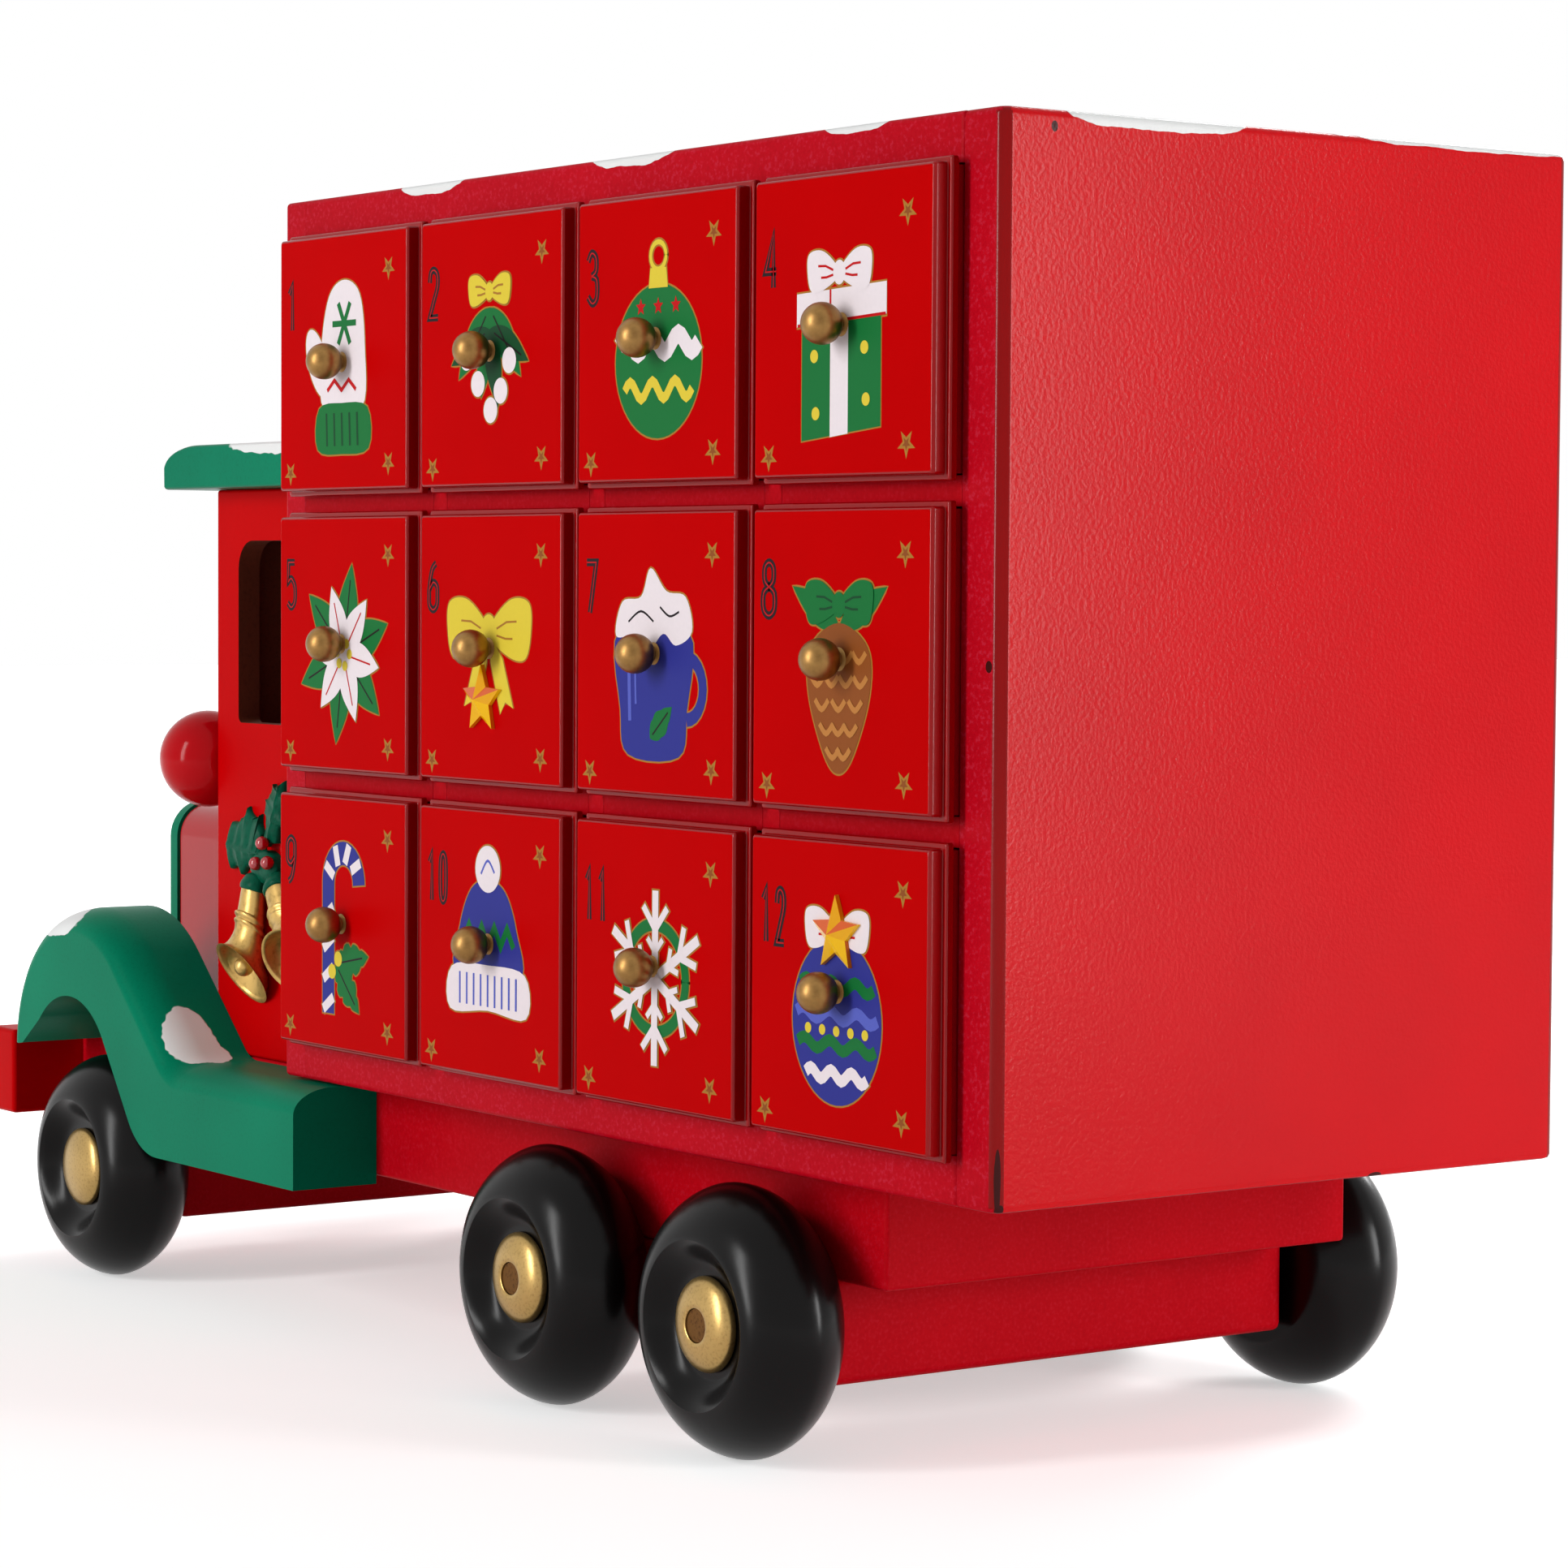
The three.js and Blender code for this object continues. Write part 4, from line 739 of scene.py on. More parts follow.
def parcel():
    return [
        ("green", [(-11, -19), (11, -17), (11, 2), (-11, 1)]),
        ("white", [(-12.5, 0), (12.5, 1.2), (12.5, 6.5), (-12.5, 5.5)]),
        ("white", [(-3, -18.5), (2, -18), (2, 0.5), (-3, 0.3)]),
        ("red", [(-12.3, 0.2), (12.3, 1.3)], 0.5),
        ("red", [(-3, 5.9), (-3, 0.4)], 0.5),
        *[("yellow", ellipse(u, v, 1.1)) for u, v in ((-7.5, -5), (6.5, -4), (-7, -14.5), (7, -12.5))],
        *bow(-0.5, 8.6, 8.5, "white", "red"),
    ]


def poinsettia():
    turns = range(20, 380, 60)
    return [
        *[("green", leaf(1, -2, 18, 8, turn)) for turn in turns],
        *[vein(1, -2, 18, turn) for turn in turns],
        *[("white", leaf(1, -2, 14, 6.8, turn + 30)) for turn in turns],
        *[vein(1, -2, 13, turn + 30, "red") for turn in turns],
        *[("yellow", ellipse(1 + 2.4 * math.cos(a), -2 + 2.4 * math.sin(a), 1.0)) for a in range(6)],
    ]


def ribbon():
    return bow(0, 3, 14, "yellow", "gold", tails=True)


def mug():
    handle = [(10.4 + 5 * math.sin(a), -6 + 5.4 * math.cos(a)) for a in [math.pi * i / 12 for i in range(13)]]
    cream = [(-12, 3), (-10, 9), (-4, 10), (-1, 15), (4, 11), (10, 10), (12, 4), (7, 1.5), (3, 3.5)]
    cream += [(-2, 0), (-6, 3)]
    return [
        ("blue", handle, 2.4),
        ("blue", smooth([(-11, 4), (11, 4), (10.5, -10), (8, -18), (-8, -18), (-10.5, -10)], 5)),
        ("white", smooth(cream)),
        ("dark", pen((-8, 5.5), (-4, 7.4), (0, 5.6), steps=5), 0.4),
        ("dark", pen((2, 8.2), (5, 6.6), (8, 7.4), steps=5), 0.4),
        ("green", leaf(-1, -15, 9, 5, 40, 3)),
        vein(-1, -15, 9, 40),
        ("sky", [(-7.8, -1), (-7.4, -12)], 1.0),
        ("sky", [(-5.8, -2), (-5.5, -9)], 0.6),
    ]


def pine_cone():
    cone = [(-8, 2), (0, 6), (8, 2), (8.5, -6), (4, -16), (0, -19), (-4, -16), (-8.5, -6)]
    shapes = [("green", leaf(0, 5, 15, 5, turn)) for turn in (28, 152)]
    shapes.append(("brown", smooth(cone)))
    for row, (wide, many) in enumerate(((7.5, 4), (8, 4), (7, 3), (5, 3), (3, 2))):
        for i in range(many):
            u = -wide + 2 * wide * (i + 0.5) / many
            scale = pen((u - 1.9, 1.2 - 4 * row), (u, -0.4 - 4 * row), (u + 1.9, 1.2 - 4 * row))
            shapes.append(("tan", scale, 1.0))
    return shapes + bow(0, 9, 9, "green", "pine")


def candy_cane():
    stick = [(-5, -18), (-5, -10), (-5, -2), (-5, 5)] + arc((1, 8), 6, math.pi, 0, 16)
    shapes = [("blue", stick, 4.6)]
    shapes += [("white", [(-7, v - 1.3), (-3, v + 1.3)], 2.0) for v in (-16, -10, -4, 2)]
    for turn in (18, 58, 98, 138):
        inside, outside = math.radians(turn), math.radians(turn + 8)
        stripe = [(1 - 4 * math.cos(inside), 8 + 4 * math.sin(inside))]
        stripe.append((1 - 8 * math.cos(outside), 8 + 8 * math.sin(outside)))
        shapes.append(("white", stripe, 2.0))
    shapes += [("green", leaf(-2, -8, 13, 7, turn, 4)) for turn in (10, -45)]
    shapes += [vein(-2, -8, 13, turn) for turn in (10, -45)]
    return shapes + [("yellow", ellipse(u, v, 1.5)) for u, v in ((-1, -7), (-3.4, -9.6))]


def woolly_hat():
    return [
        ("blue", smooth([(-11, -6), (-10, 3), (-6, 10), (0, 12), (6, 10), (10, 3), (11, -6)])),
        ("green", [(-9 + 18 * i / 8, 1 + (2.2 if i % 2 else -1.2)) for i in range(9)], 1.5),
        ("white", smooth([(-13, -5), (0, -4), (13, -5), (13.5, -13), (0, -12.5), (-13.5, -13)], 5)),
        *[("sky", [(2.5 * i, -5.8), (2.5 * i, -11.8)], 0.6) for i in range(-4, 5)],
        ("white", ellipse(0, 14, 4.4)),
        ("sky", pen((-2.4, 13), (0, 15.6), (2.4, 13.4), steps=5), 0.5),
    ]


def snowflake():
    """Six arms, each a spine with two pairs of side branches, over a green ring."""
    shapes = [("green", arc((1, -2), 9.5, 0, 2 * math.pi, 48), 2.2)]
    branches = [((0, 0), (15.5, 0), 1.9)]
    for root, tip, out, width in ((8.6, 12.6, 3.8, 1.4), (4.6, 7, 2.4, 1.1)):
        branches += [((root, 0), (tip, side * out), width) for side in (1, -1)]
    for arm in range(6):
        turn = math.degrees(math.pi * arm / 3 + 0.52)
        shapes += [("white", turned((root, tip), 1, -2, turn), width) for root, tip, width in branches]
    return shapes


def striped_bauble():
    shapes = [("blue", ellipse(0, -5, 12.5, 14, steps=48))]
    for v, colour in ((1, "green"), (-4, "sky"), (-9, "green"), (-14, "white")):
        wide = 12 * math.sqrt(1 - ((v + 5) / 14) ** 2) - 0.6
        shapes.append((colour, ripple_line(-wide, wide, v, 0.8), 2.0))
    shapes += [("yellow", ellipse(u, -6.6, 0.9)) for u in (-8, -4, 0, 4, 8)]
    return shapes + bow(0, 10, 8.5, "white", "red")


MOTIFS = [mitten, mistletoe, bauble, parcel, poinsettia, ribbon]
MOTIFS += [mug, pine_cone, candy_cane, woolly_hat, snowflake, striped_bauble]
BOWL = [(0.02, 0.3), (0.06, 0.1), (0.5, 0), (0.94, 0.1), (1, 0.3), (0.94, 0.5), (0.5, 0.58)]
DIGITS = {  # the brush lines of each digit, on a square of one by one
    "0": [pen((0, 0.5), (0.1, 0.88), (0.5, 1), (0.9, 0.88), (1, 0.5), (0.9, 0.12), (0.5, 0), (0.1, 0.12),
              (0, 0.5))],
    "1": [[(0.2, 0.8), (0.62, 1), (0.62, 0)]],
    "2": [pen((0.02, 0.74), (0.14, 0.94), (0.5, 1), (0.9, 0.9), (0.94, 0.66), (0.5, 0.34), (0, 0), steps=5)
          + [(1, 0)]],
    "3": [pen((0.04, 0.84), (0.4, 1), (0.86, 0.9), (0.86, 0.64), (0.4, 0.54)),
          pen((0.4, 0.54), (0.94, 0.46), (0.96, 0.12), (0.5, 0), (0.02, 0.14))],
    "4": [[(0.74, 0), (0.74, 1), (0, 0.3), (1, 0.3)]],
    "5": [[(0.92, 1), (0.14, 1)]
          + pen((0.08, 0.56), (0.5, 0.64), (0.96, 0.46), (0.96, 0.14), (0.5, 0), (0.02, 0.1))],
    "6": [pen((0.84, 0.98), (0.36, 0.84), (0.04, 0.46), *BOWL, (0.08, 0.44))],
    "7": [[(0, 1), (1, 1), (0.36, 0)]],
    "8": [pen((0.5, 0.54), (0.1, 0.66), (0.1, 0.9), (0.5, 1), (0.9, 0.9), (0.9, 0.66), (0.5, 0.54)),
          pen((0.5, 0.54), (0, 0.42), (0, 0.12), (0.5, 0), (1, 0.12), (1, 0.42), (0.5, 0.54))],
    "9": [pen((0.16, 0.02), (0.64, 0.16), (0.96, 0.54), *[(1 - a, 1 - b) for a, b in BOWL], (0.92, 0.56))],
}


def grown(outline, by):
    """The outline moved outwards by a key line's width."""
    area = sum(a[0] * b[1] - b[0] * a[1] for a, b in zip(outline, outline[1:] + outline[:1]))
    sign = 1 if area > 0 else -1
    out = []
    for i, point in enumerate(outline):
        along = Vector(outline[(i + 1) % len(outline)]) - Vector(outline[i - 1])
        if along.length > 1e-6:
            along.normalize()
        out.append((point[0] + sign * along.y * by, point[1] - sign * along.x * by))
    return out


def brush_sides(points, reach, spread):
    """Both sides of a brush line: mitred at its bends, and longer by the spread at its ends."""
    sides = []
    for i, point in enumerate(points):
        before, after = points[max(i - 1, 0)], points[min(i + 1, len(points) - 1)]
        back, on = Vector(point) - Vector(before), Vector(after) - Vector(point)
        back = back.normalized() if back.length > 1e-6 else on.normalized()
        on = on.normalized() if on.length > 1e-6 else back
        along = (back + on).normalized()
        mitre = min(reach / max(along.dot(on), 0.45), reach * 1.8)
        middle = Vector(point) + along * (spread * (i == len(points) - 1) - spread * (i == 0))
        across = Vector((-along.y, along.x)) * mitre
        sides.append((middle + across, middle - across))
    return sides


def lay_ink(bm, colour, points, width, spread, level):
    """Lays one flat shape of ink: an area when width is None, else a brush line of that width."""
    if width is None:
        faces = [bm.faces.new([bm.verts.new((u, v, level)) for u, v in grown(points, spread)])]
    else:
        sides = [[bm.verts.new((at.x, at.y, level)) for at in pair]
                 for pair in brush_sides(points, width / 2 + spread, spread)]
        faces = [bm.faces.new((a[0], a[1], b[1], b[0])) for a, b in zip(sides, sides[1:])]
    for face in faces:
        face.material_index = INK_NAMES.index(colour)
        face.normal_update()
        if face.normal.z < 0:
            face.normal_flip()


def print_number(bm, number):
    """Dark brush digits, each with a fine red line down the middle of its stroke."""
    text = str(number)
    for place, digit in enumerate(text):
        left = NUMBER_LEFT + place * DIGIT_PITCH
        for part, line in enumerate(DIGITS[digit]):
            placed = [(left + a * DIGIT_WIDTHS[len(text)], NUMBER_FOOT + b * NUMBER_HEIGHT) for a, b in line]
            lay_ink(bm, "dark", placed, DIGIT_STROKE, 0, INK_STEP * (DIGIT_LEVEL + DIGIT_RISE * part))
            lay_ink(bm, "red", placed, DIGIT_CORE, 0, INK_STEP * (DIGIT_CORE_LEVEL + DIGIT_RISE * part))


def print_drawer(number):
    """The left side shows the twelve motifs in their order, the right side in a mixed one."""
    bm = bmesh.new()
    motif = MOTIFS[number - 1 if number <= 12 else (5 * number + 3) % 12]
    shapes = [(*shape, None)[:3] for shape in motif()]
    for i, (colour, points, width) in enumerate(shapes):
        lay_ink(bm, "gold", points, width, KEY_LINE, INK_STEP * (1 + KEY_RISE * i))
    base = INK_STEP * (2 + KEY_RISE * len(shapes))
    for i, (colour, points, width) in enumerate(shapes):
        lay_ink(bm, colour, points, width, 0, base + INK_STEP * i * INK_RISE)
    for u, v in CORNER_STARS:
        lay_ink(bm, "gold", star(u, v, *STAR_GOLD, turn=-90), None, 0, INK_STEP)
        lay_ink(bm, "brown", star(u, v, *STAR_HOLLOW, turn=-90), None, 0, 2 * INK_STEP)
    print_number(bm, number)
    bm.transform(Matrix.Scale(MM, 4))
    mesh = bpy.data.meshes.new(f"print_{number:02d}")
    bm.to_mesh(mesh)
    bm.free()
    for name in INK_NAMES:
        mesh.materials.append(INKS[name])
    put_mesh(f"print_{number:02d}", mesh, f"drawer_{number:02d}", (), drawer_place(number))


for number in range(1, 25):
    print_drawer(number)


# Gems: five-pointed stars moulded in amber acrylic with cut facets, glued by their flat backs
# on the fronts of drawers 6 and 12.

# Amber acrylic: clear and very smooth; each facet is painted its own shade from yellow to orange by the way
# it faces, painted light that stands for how the facets catch the light.
amber, tree, shader = new_material("amber_acrylic", 0.06, IOR=1.49, Transmission_Weight=0.05,
                                   Specular_IOR_Level=0.22)
facet = add_node(tree, "TexCoord").outputs["Normal"]
facet_light_noise = add_node(tree, "TexNoise", {"Vector": facet, "Scale": 1.9, "Detail": 1.0})
depth = add_node(tree, "MapRange", {"Value": facet_light_noise, "From Min": 0.42, "From Max": 0.58})
yellow_and_orange = {"Factor": depth, "A": linear("#FFC80A"), "B": linear("#E25C00")}
tone = add_node(tree, "Mix", yellow_and_orange, data_type="RGBA")
tree.links.new(tone.outputs[2], shader.inputs["Base Color"])
for node in ("gem_star_06", "gem_star_12"):
    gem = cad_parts[node]
    gem.data.materials.clear()
    gem.data.materials.append(amber)


# Cab: two side boards with windows and a front board with the windscreen between them, glued,
# open inside, where the wood is only stained. The roof is a green slab with a rounded nose.
CAB_EASE = 0.7
ROOF_NOSE = 14.5
ROOF_NOSE_FOOT = 4.4
ROOF_EASE = 0.5
ROOF_ENDS = [(0, 0.7), (0.3, 0.25), (0.9, 0)]  # how far in from each end, and how much smaller there
ROOF_SNOW = [((72, 55, 181), (15, 14, 3.2)), ((60, -52, 181), (12, 12, 3)), ((108, -20, 180), (9, 18, 4))]
# Oil stain on bare wood: dull and brown, with the grain showing as dark flecks.
stained = enamel("stained_wood", "#66301E", "#3A1A10", roughness=0.6, gloss=0.15,
                 speck=(0.7, 0.35), ripple=(0.9, 0.04))
# Enamel sprayed on the cab: a clear warm red with a soft sheen and no painted fibre highlights.
cab_red = enamel("sprayed_red_enamel", "#C40003", "#AC0006", roughness=0.34, gloss=0.015,
                 speck=(0.7, 0.15), ripple=(2.0, 0.02))
# Green enamel of the roof, sprayed on both faces: satin, clouding to a deeper green.
roof_green = enamel("green_enamel_roof", "#007E5C", "#006046", roughness=0.34, gloss=0.03,
                    speck=(0.7, 0.2), ripple=(2.4, 0.03), snow=ROOF_SNOW)
eased_boards(["cab_side_left", "cab_side_right", "cab_front"], CAB_EASE, [cab_red, stained])

low, high = limits(["cab_roof"])
outline = [(low.x, low.z + ROOF_EASE), (low.x + ROOF_EASE, low.z)]
outline += [(high.x - 0.7, low.z), (high.x - 0.1, low.z + 0.6)]
for i in range(15):
    angle = math.pi / 2 * i / 14
    rise = (high.z - low.z - ROOF_NOSE_FOOT) * math.sin(angle)
    outline.append((high.x - ROOF_NOSE * (1 - math.cos(angle)), low.z + ROOF_NOSE_FOOT + rise))
outline += [(low.x + ROOF_EASE, high.z), (low.x, high.z - ROOF_EASE)]
sections = [(low.y + inwards, smaller) for inwards, smaller in ROOF_ENDS]
sections += [(high.y - inwards, smaller) for inwards, smaller in ROOF_ENDS[::-1]]
roof = loft([[(x, y, z) for x, z in grown(outline, -smaller)] for y, smaller in sections])
put("roof_slab", roof, [roof_green], "truck", ["cab_roof"], sharp=40)


# Hood: a solid block with rounded shoulders, gloss red, with a green plate glued on its front
# for the radiator. Two red balls are the lamps, and a red plank is the bumper.
HOOD_CORNER = 7.5
PLATE_CORNER = 8.0
HOOD_ENDS = [(0.6, 0), (0.15, 0.2), (0, 0.6)]  # how far behind the front, and how much smaller there
HOOD_SEAT = 0.01
LAMP_PROUD = 0.05
BUMPER_EASE = 1.0
# Gloss enamel brushed on thick: deep red, with clear reflections that the brush marks bend.
gloss_red = enamel("gloss_red_enamel", "#B4000E", "#98000C", roughness=0.2, gloss=0.3,
                   speck=(1.0, 0.1), ripple=(5.0, 0.05))
# Green enamel, sprayed: satin, clouding to a deeper green.
green = enamel("green_enamel", "#007E5C", "#006046", roughness=0.34, gloss=0.03,
               speck=(0.7, 0.2), ripple=(2.4, 0.03))
# Dipped balls: the smoothest paint on the truck, with a small sharp highlight.
lamp_red = enamel("glossy_red_ball", "#BE0410", "#A6000E", roughness=0.12, gloss=0.08,
                  speck=(1.0, 0.05), ripple=(8.0, 0.02))


def shouldered(low, high, corner, x, inset=0.0):
    """A hood's section at one x: square at the foot, rounded at the shoulders."""
    points = [(x, low.y + inset, low.z), (x, high.y - inset, low.z)]
    for quarter, middle in enumerate((high.y - corner, low.y + corner)):
        for i in range(11):
            angle = math.pi / 2 * (quarter + i / 10)
            out, up = (corner - inset) * math.cos(angle), (corner - inset) * math.sin(angle)
            points.append((x, middle + out, high.z - corner + up))
    return points


def shouldered_block(name, node, corner, finish):
    low, high = limits([node])
    rings = [shouldered(low, high, corner, low.x + HOOD_SEAT)]
    rings += [shouldered(low, high, corner, high.x - behind, smaller) for behind, smaller in HOOD_ENDS]
    put(name, loft(rings), [finish], "truck", [node], sharp=40)


shouldered_block("hood_block", "hood", HOOD_CORNER, gloss_red)
shouldered_block("radiator_plate", "grille_surround", PLATE_CORNER, green)

for side in ("left", "right"):
    low, high = limits(["lamp_" + side])
    radius = (high.z - low.z) / 2 + LAMP_PROUD
    centre = Vector((high.x - radius, (low.y + high.y) / 2, (low.z + high.z) / 2))
    flat = math.acos(min((centre.x - low.x) / radius, 1))
    profile = [(0, -radius * math.cos(flat))]
    for i in range(25):
        angle = flat + (math.pi - flat) * i / 24
        profile.append((radius * math.sin(angle) if i < 24 else 0, -radius * math.cos(angle)))
    ball = lathe(profile, 48)
    ball.transform(Matrix.Translation(centre) @ Matrix.Rotation(-math.pi / 2, 4, "Z"))
    put("ball_lamp_" + side, ball, [lamp_red], "truck", ["lamp_" + side])

eased_boards(["bumper"], BUMPER_EASE, [cab_red])


# Fenders: bandsawn from a thick board, a round arch over the front wheel that runs down into a
# flat running board; the outer top edge is rounded over. Green enamel with two dabs of snow.
WHEEL_ROOM = 1.2
ARCH_RADIUS = 20.2
ARCH_FORWARD = 6.0
ARCH_SLOPE = 53.4
TIP_ANGLE = 44.0
TIP_RUN = 7.3
CREST_RADIUS = 32.5
CREST_FORWARD = 4.0
TOP_SLOPE = 42.3
FOOT_RADIUS = 16.0
HOLLOW_RADIUS = 8.0
BOARD_GAP = 0.6  # between the running board and the box over it
BOARD_FLAT = 25
ROUND_WIDTH = 9.0
ROUND_DROP = 5.2
FENDER_SNOW = [
    ((147, 69, 77.6), (14, 9, 4.4)),
    ((98, 64, 53), (11, 6, 8)),
    ((94, 63, 49), (8, 7, 5)),
    ((132, -64, 80), (14, 8, 3.4)),
    ((84, -64, 50), (12, 7, 5)),
]
# The same sprayed green, a shade fresher on the sanded curves.
fender_green = enamel("green_enamel_fender", "#00805E", "#006046", roughness=0.34, gloss=0.03,
                      speck=(0.7, 0.2), ripple=(2.4, 0.03), snow=FENDER_SNOW)


def fender_edges():
    """Upper and lower edge in x and z, set out from the front axle."""
    low, high = limits(["fender_left"])
    axle_low, axle_high = limits(["axle_front"])
    axle = Vector(((axle_low.x + axle_high.x) / 2, (axle_low.z + axle_high.z) / 2))
    slope, top_slope = math.radians(ARCH_SLOPE), math.radians(TOP_SLOPE)
    under = Vector((-math.sin(slope), math.cos(slope)))
    over = Vector((-math.sin(top_slope), math.cos(top_slope)))
    clear = WHEEL_RADIUS + WHEEL_ROOM
    rise = (clear - ARCH_RADIUS - under.x * ARCH_FORWARD) / under.y
    arch = axle + Vector((ARCH_FORWARD, rise))
    crest = Vector((axle.x + CREST_FORWARD, high.z - CREST_RADIUS))
    tail_top, tail_foot = limits(["box_bottom"])[0].z - BOARD_GAP, low.z
    foot_z = tail_foot + FOOT_RADIUS
    foot = Vector((axle.x + (clear + FOOT_RADIUS - under.y * (foot_z - axle.y)) / under.x, foot_z))
    reach = over.dot(crest - axle) + CREST_RADIUS
    hollow_z = tail_top + HOLLOW_RADIUS
    hollow = Vector((axle.x + (reach + HOLLOW_RADIUS - over.y * (hollow_z - axle.y)) / over.x, hollow_z))
    tip = Vector((crest.x + CREST_RADIUS - TIP_RUN, crest.y + 1))
    crest_end = math.atan2(over.y, over.x)
    upper = arc(crest, CREST_RADIUS, math.asin(1 / CREST_RADIUS), crest_end, 48)
    upper += arc(hollow, HOLLOW_RADIUS, crest_end - math.pi, -math.pi / 2, 12)
    upper += [Vector((low.x + BOARD_FLAT, tail_top)), Vector((low.x, tail_top))]
    slope_end = math.atan2(under.y, under.x)
    lower = [Vector((low.x, tail_foot))] + arc(foot, FOOT_RADIUS, -math.pi / 2, slope_end - math.pi, 14)
    lower += arc(arch, ARCH_RADIUS, slope_end, math.radians(TIP_ANGLE), 32) + [tip]
    return upper, lower


def lowered(upper, drop):
    """The upper edge moved square to itself, down into the board."""
    out = []
    for i, point in enumerate(upper):
        along = (upper[min(i + 1, len(upper) - 1)] - upper[max(i - 1, 0)]).normalized()
        out.append(Vector((point.x - along.y * drop, point.y + along.x * drop)))
    return out


upper, lower = fender_edges()
for side, sign in (("left", 1), ("right", -1)):
    low, high = limits(["fender_" + side])
    inner, outer = (low.y, high.y) if sign > 0 else (high.y, low.y)
    rings = [[(p.x, inner, p.y) for p in upper + lower]]
    for i in range(13):
        angle = math.pi / 2 * i / 12
        y = outer - sign * ROUND_WIDTH * (1 - math.sin(angle))
        edge = lowered(upper, ROUND_DROP * (1 - math.cos(angle)))
        rings.append([(p.x, y, p.y) for p in edge + lower])
    put("fender_sawn_" + side, loft(rings), [fender_green], "truck",
        ["fender_" + side], sharp=50)


# Ornament: a small casting glued on each side of the cab, two gilt bells that hang apart and turn
# their mouths out, under two holly leaves and a knot of red berries. Moulded resin, hand-painted.
KNOT_PLACE = (78.6, 52.85, 93.4)
GLUE_LINE = 0.02
BELL_DROP = 4.7  # crown below the knot
BELL_OUT = 0.1
BELL_LENGTH = 19.5
BELL_LIP = 0.9
BELL_HOLLOW = 4.4
CROWN_TILT = 12.0
MOUTH_TILT = 55.5
CROWN_RELIEF = 0.75
CLAPPER_RADIUS = 2.1
CLAPPER_SUNK = 0.6
CLAPPER_RISE = 1.4
BELL_WIDTHS = [  # share of the way down, and radius across
    (0.0, 2.1), (0.02, 2.7), (0.06, 3.0), (0.16, 3.15), (0.3, 3.35), (0.38, 3.5),
    (0.395, 3.85), (0.415, 3.95), (0.435, 3.85), (0.45, 3.6),
    (0.47, 3.62), (0.485, 3.95), (0.505, 4.05), (0.525, 3.95), (0.54, 3.75),
    (0.62, 4.0), (0.7, 4.4), (0.78, 4.95), (0.85, 5.55), (0.91, 6.25), (0.96, 6.95), (0.99, 7.6), (1.0, 7.85),
]
COLLAR_WIDTHS = [(0, 1.9, 1.5), (0, 2.9, 1.0), (0.02, 3.35, 0), (0.06, 3.45, 0), (0.1, 3.4, 0)]
COLLAR_WIDTHS += [(0.11, 3.0, 0)]
COLLAR_LIFT = 0.1
BELLS = {"fore": (3.8, 4.0), "aft": (-5.2, -38.0)}  # crown ahead of the knot, lean in degrees
KNOT_MIDDLE = (0.2, -1.6)
KNOT_RADII = (5.6, 3.6)
KNOT_LAYERS = [(0, GLUE_LINE), (0, 1.6), (0.3, 2.2), (1.1, 2.7), (2.4, 2.9)]  # inset, height off the wall
BERRY_RADIUS = 1.45
BERRY_OUT = 3.3
BERRIES = [(-1.6, 3.6), (-3.8, -0.4), (1.2, -0.8)]
# Gold paint brushed on resin: warm, brown in its hollows, shining only where it is rubbed.
gilt = enamel("gilt_resin", "#CDA860", "#8A6A30", roughness=0.34, gloss=0.5,
              speck=(1.1, 0.5), ripple=(1.4, 0.05), metallic=0.7)
# Dark green paint brushed on resin: satin, a little uneven, darker in the veins.
holly_green = enamel("holly_green_resin", "#045840", "#053626", roughness=0.36, gloss=0.06,
                     speck=(0.9, 0.4), ripple=(1.2, 0.06))
# Red lacquer on the berries: wet and bright, with one point of light on each.
berry_red = enamel("berry_red_resin", "#B8081A", "#7E0410", roughness=0.12, gloss=0.8,
                   speck=(0.8, 0.1), ripple=(2.0, 0.02))


def bell_rings(widths, lift=0.0):
    """Rings of a bell whose tilt grows from crown to mouth; the back of each touches the wall."""
    rings = []
    for share, wide, along in widths:
        tilt = math.radians(CROWN_TILT + (MOUTH_TILT - CROWN_TILT) * share)
        relief = CROWN_RELIEF + (1 - CROWN_RELIEF) * share
        reach = max(w for s, w in BELL_WIDTHS if s <= share + 1e-6) * relief * math.cos(tilt) + lift
        ring = []
        for i in range(40):
            angle = 2 * math.pi * i / 40
            up = wide * relief * math.sin(angle)
            ring.append((wide * math.cos(angle), reach + up * math.cos(tilt) - along * math.sin(tilt),
                         up * math.sin(tilt) + along * math.cos(tilt) - share * BELL_LENGTH))
        rings.append(ring)
    return rings


def hung(bm, hang, sign):
    """Hangs a moulded form on the cab and cuts off what would lie inside its wall."""
    bm.transform(hang)
    bmesh.ops.bisect_plane(bm, geom=bm.verts[:] + bm.edges[:] + bm.faces[:],
                           plane_co=(0, sign * KNOT_PLACE[1], 0), plane_no=(0, sign, 0), clear_inner=True)
    return bm


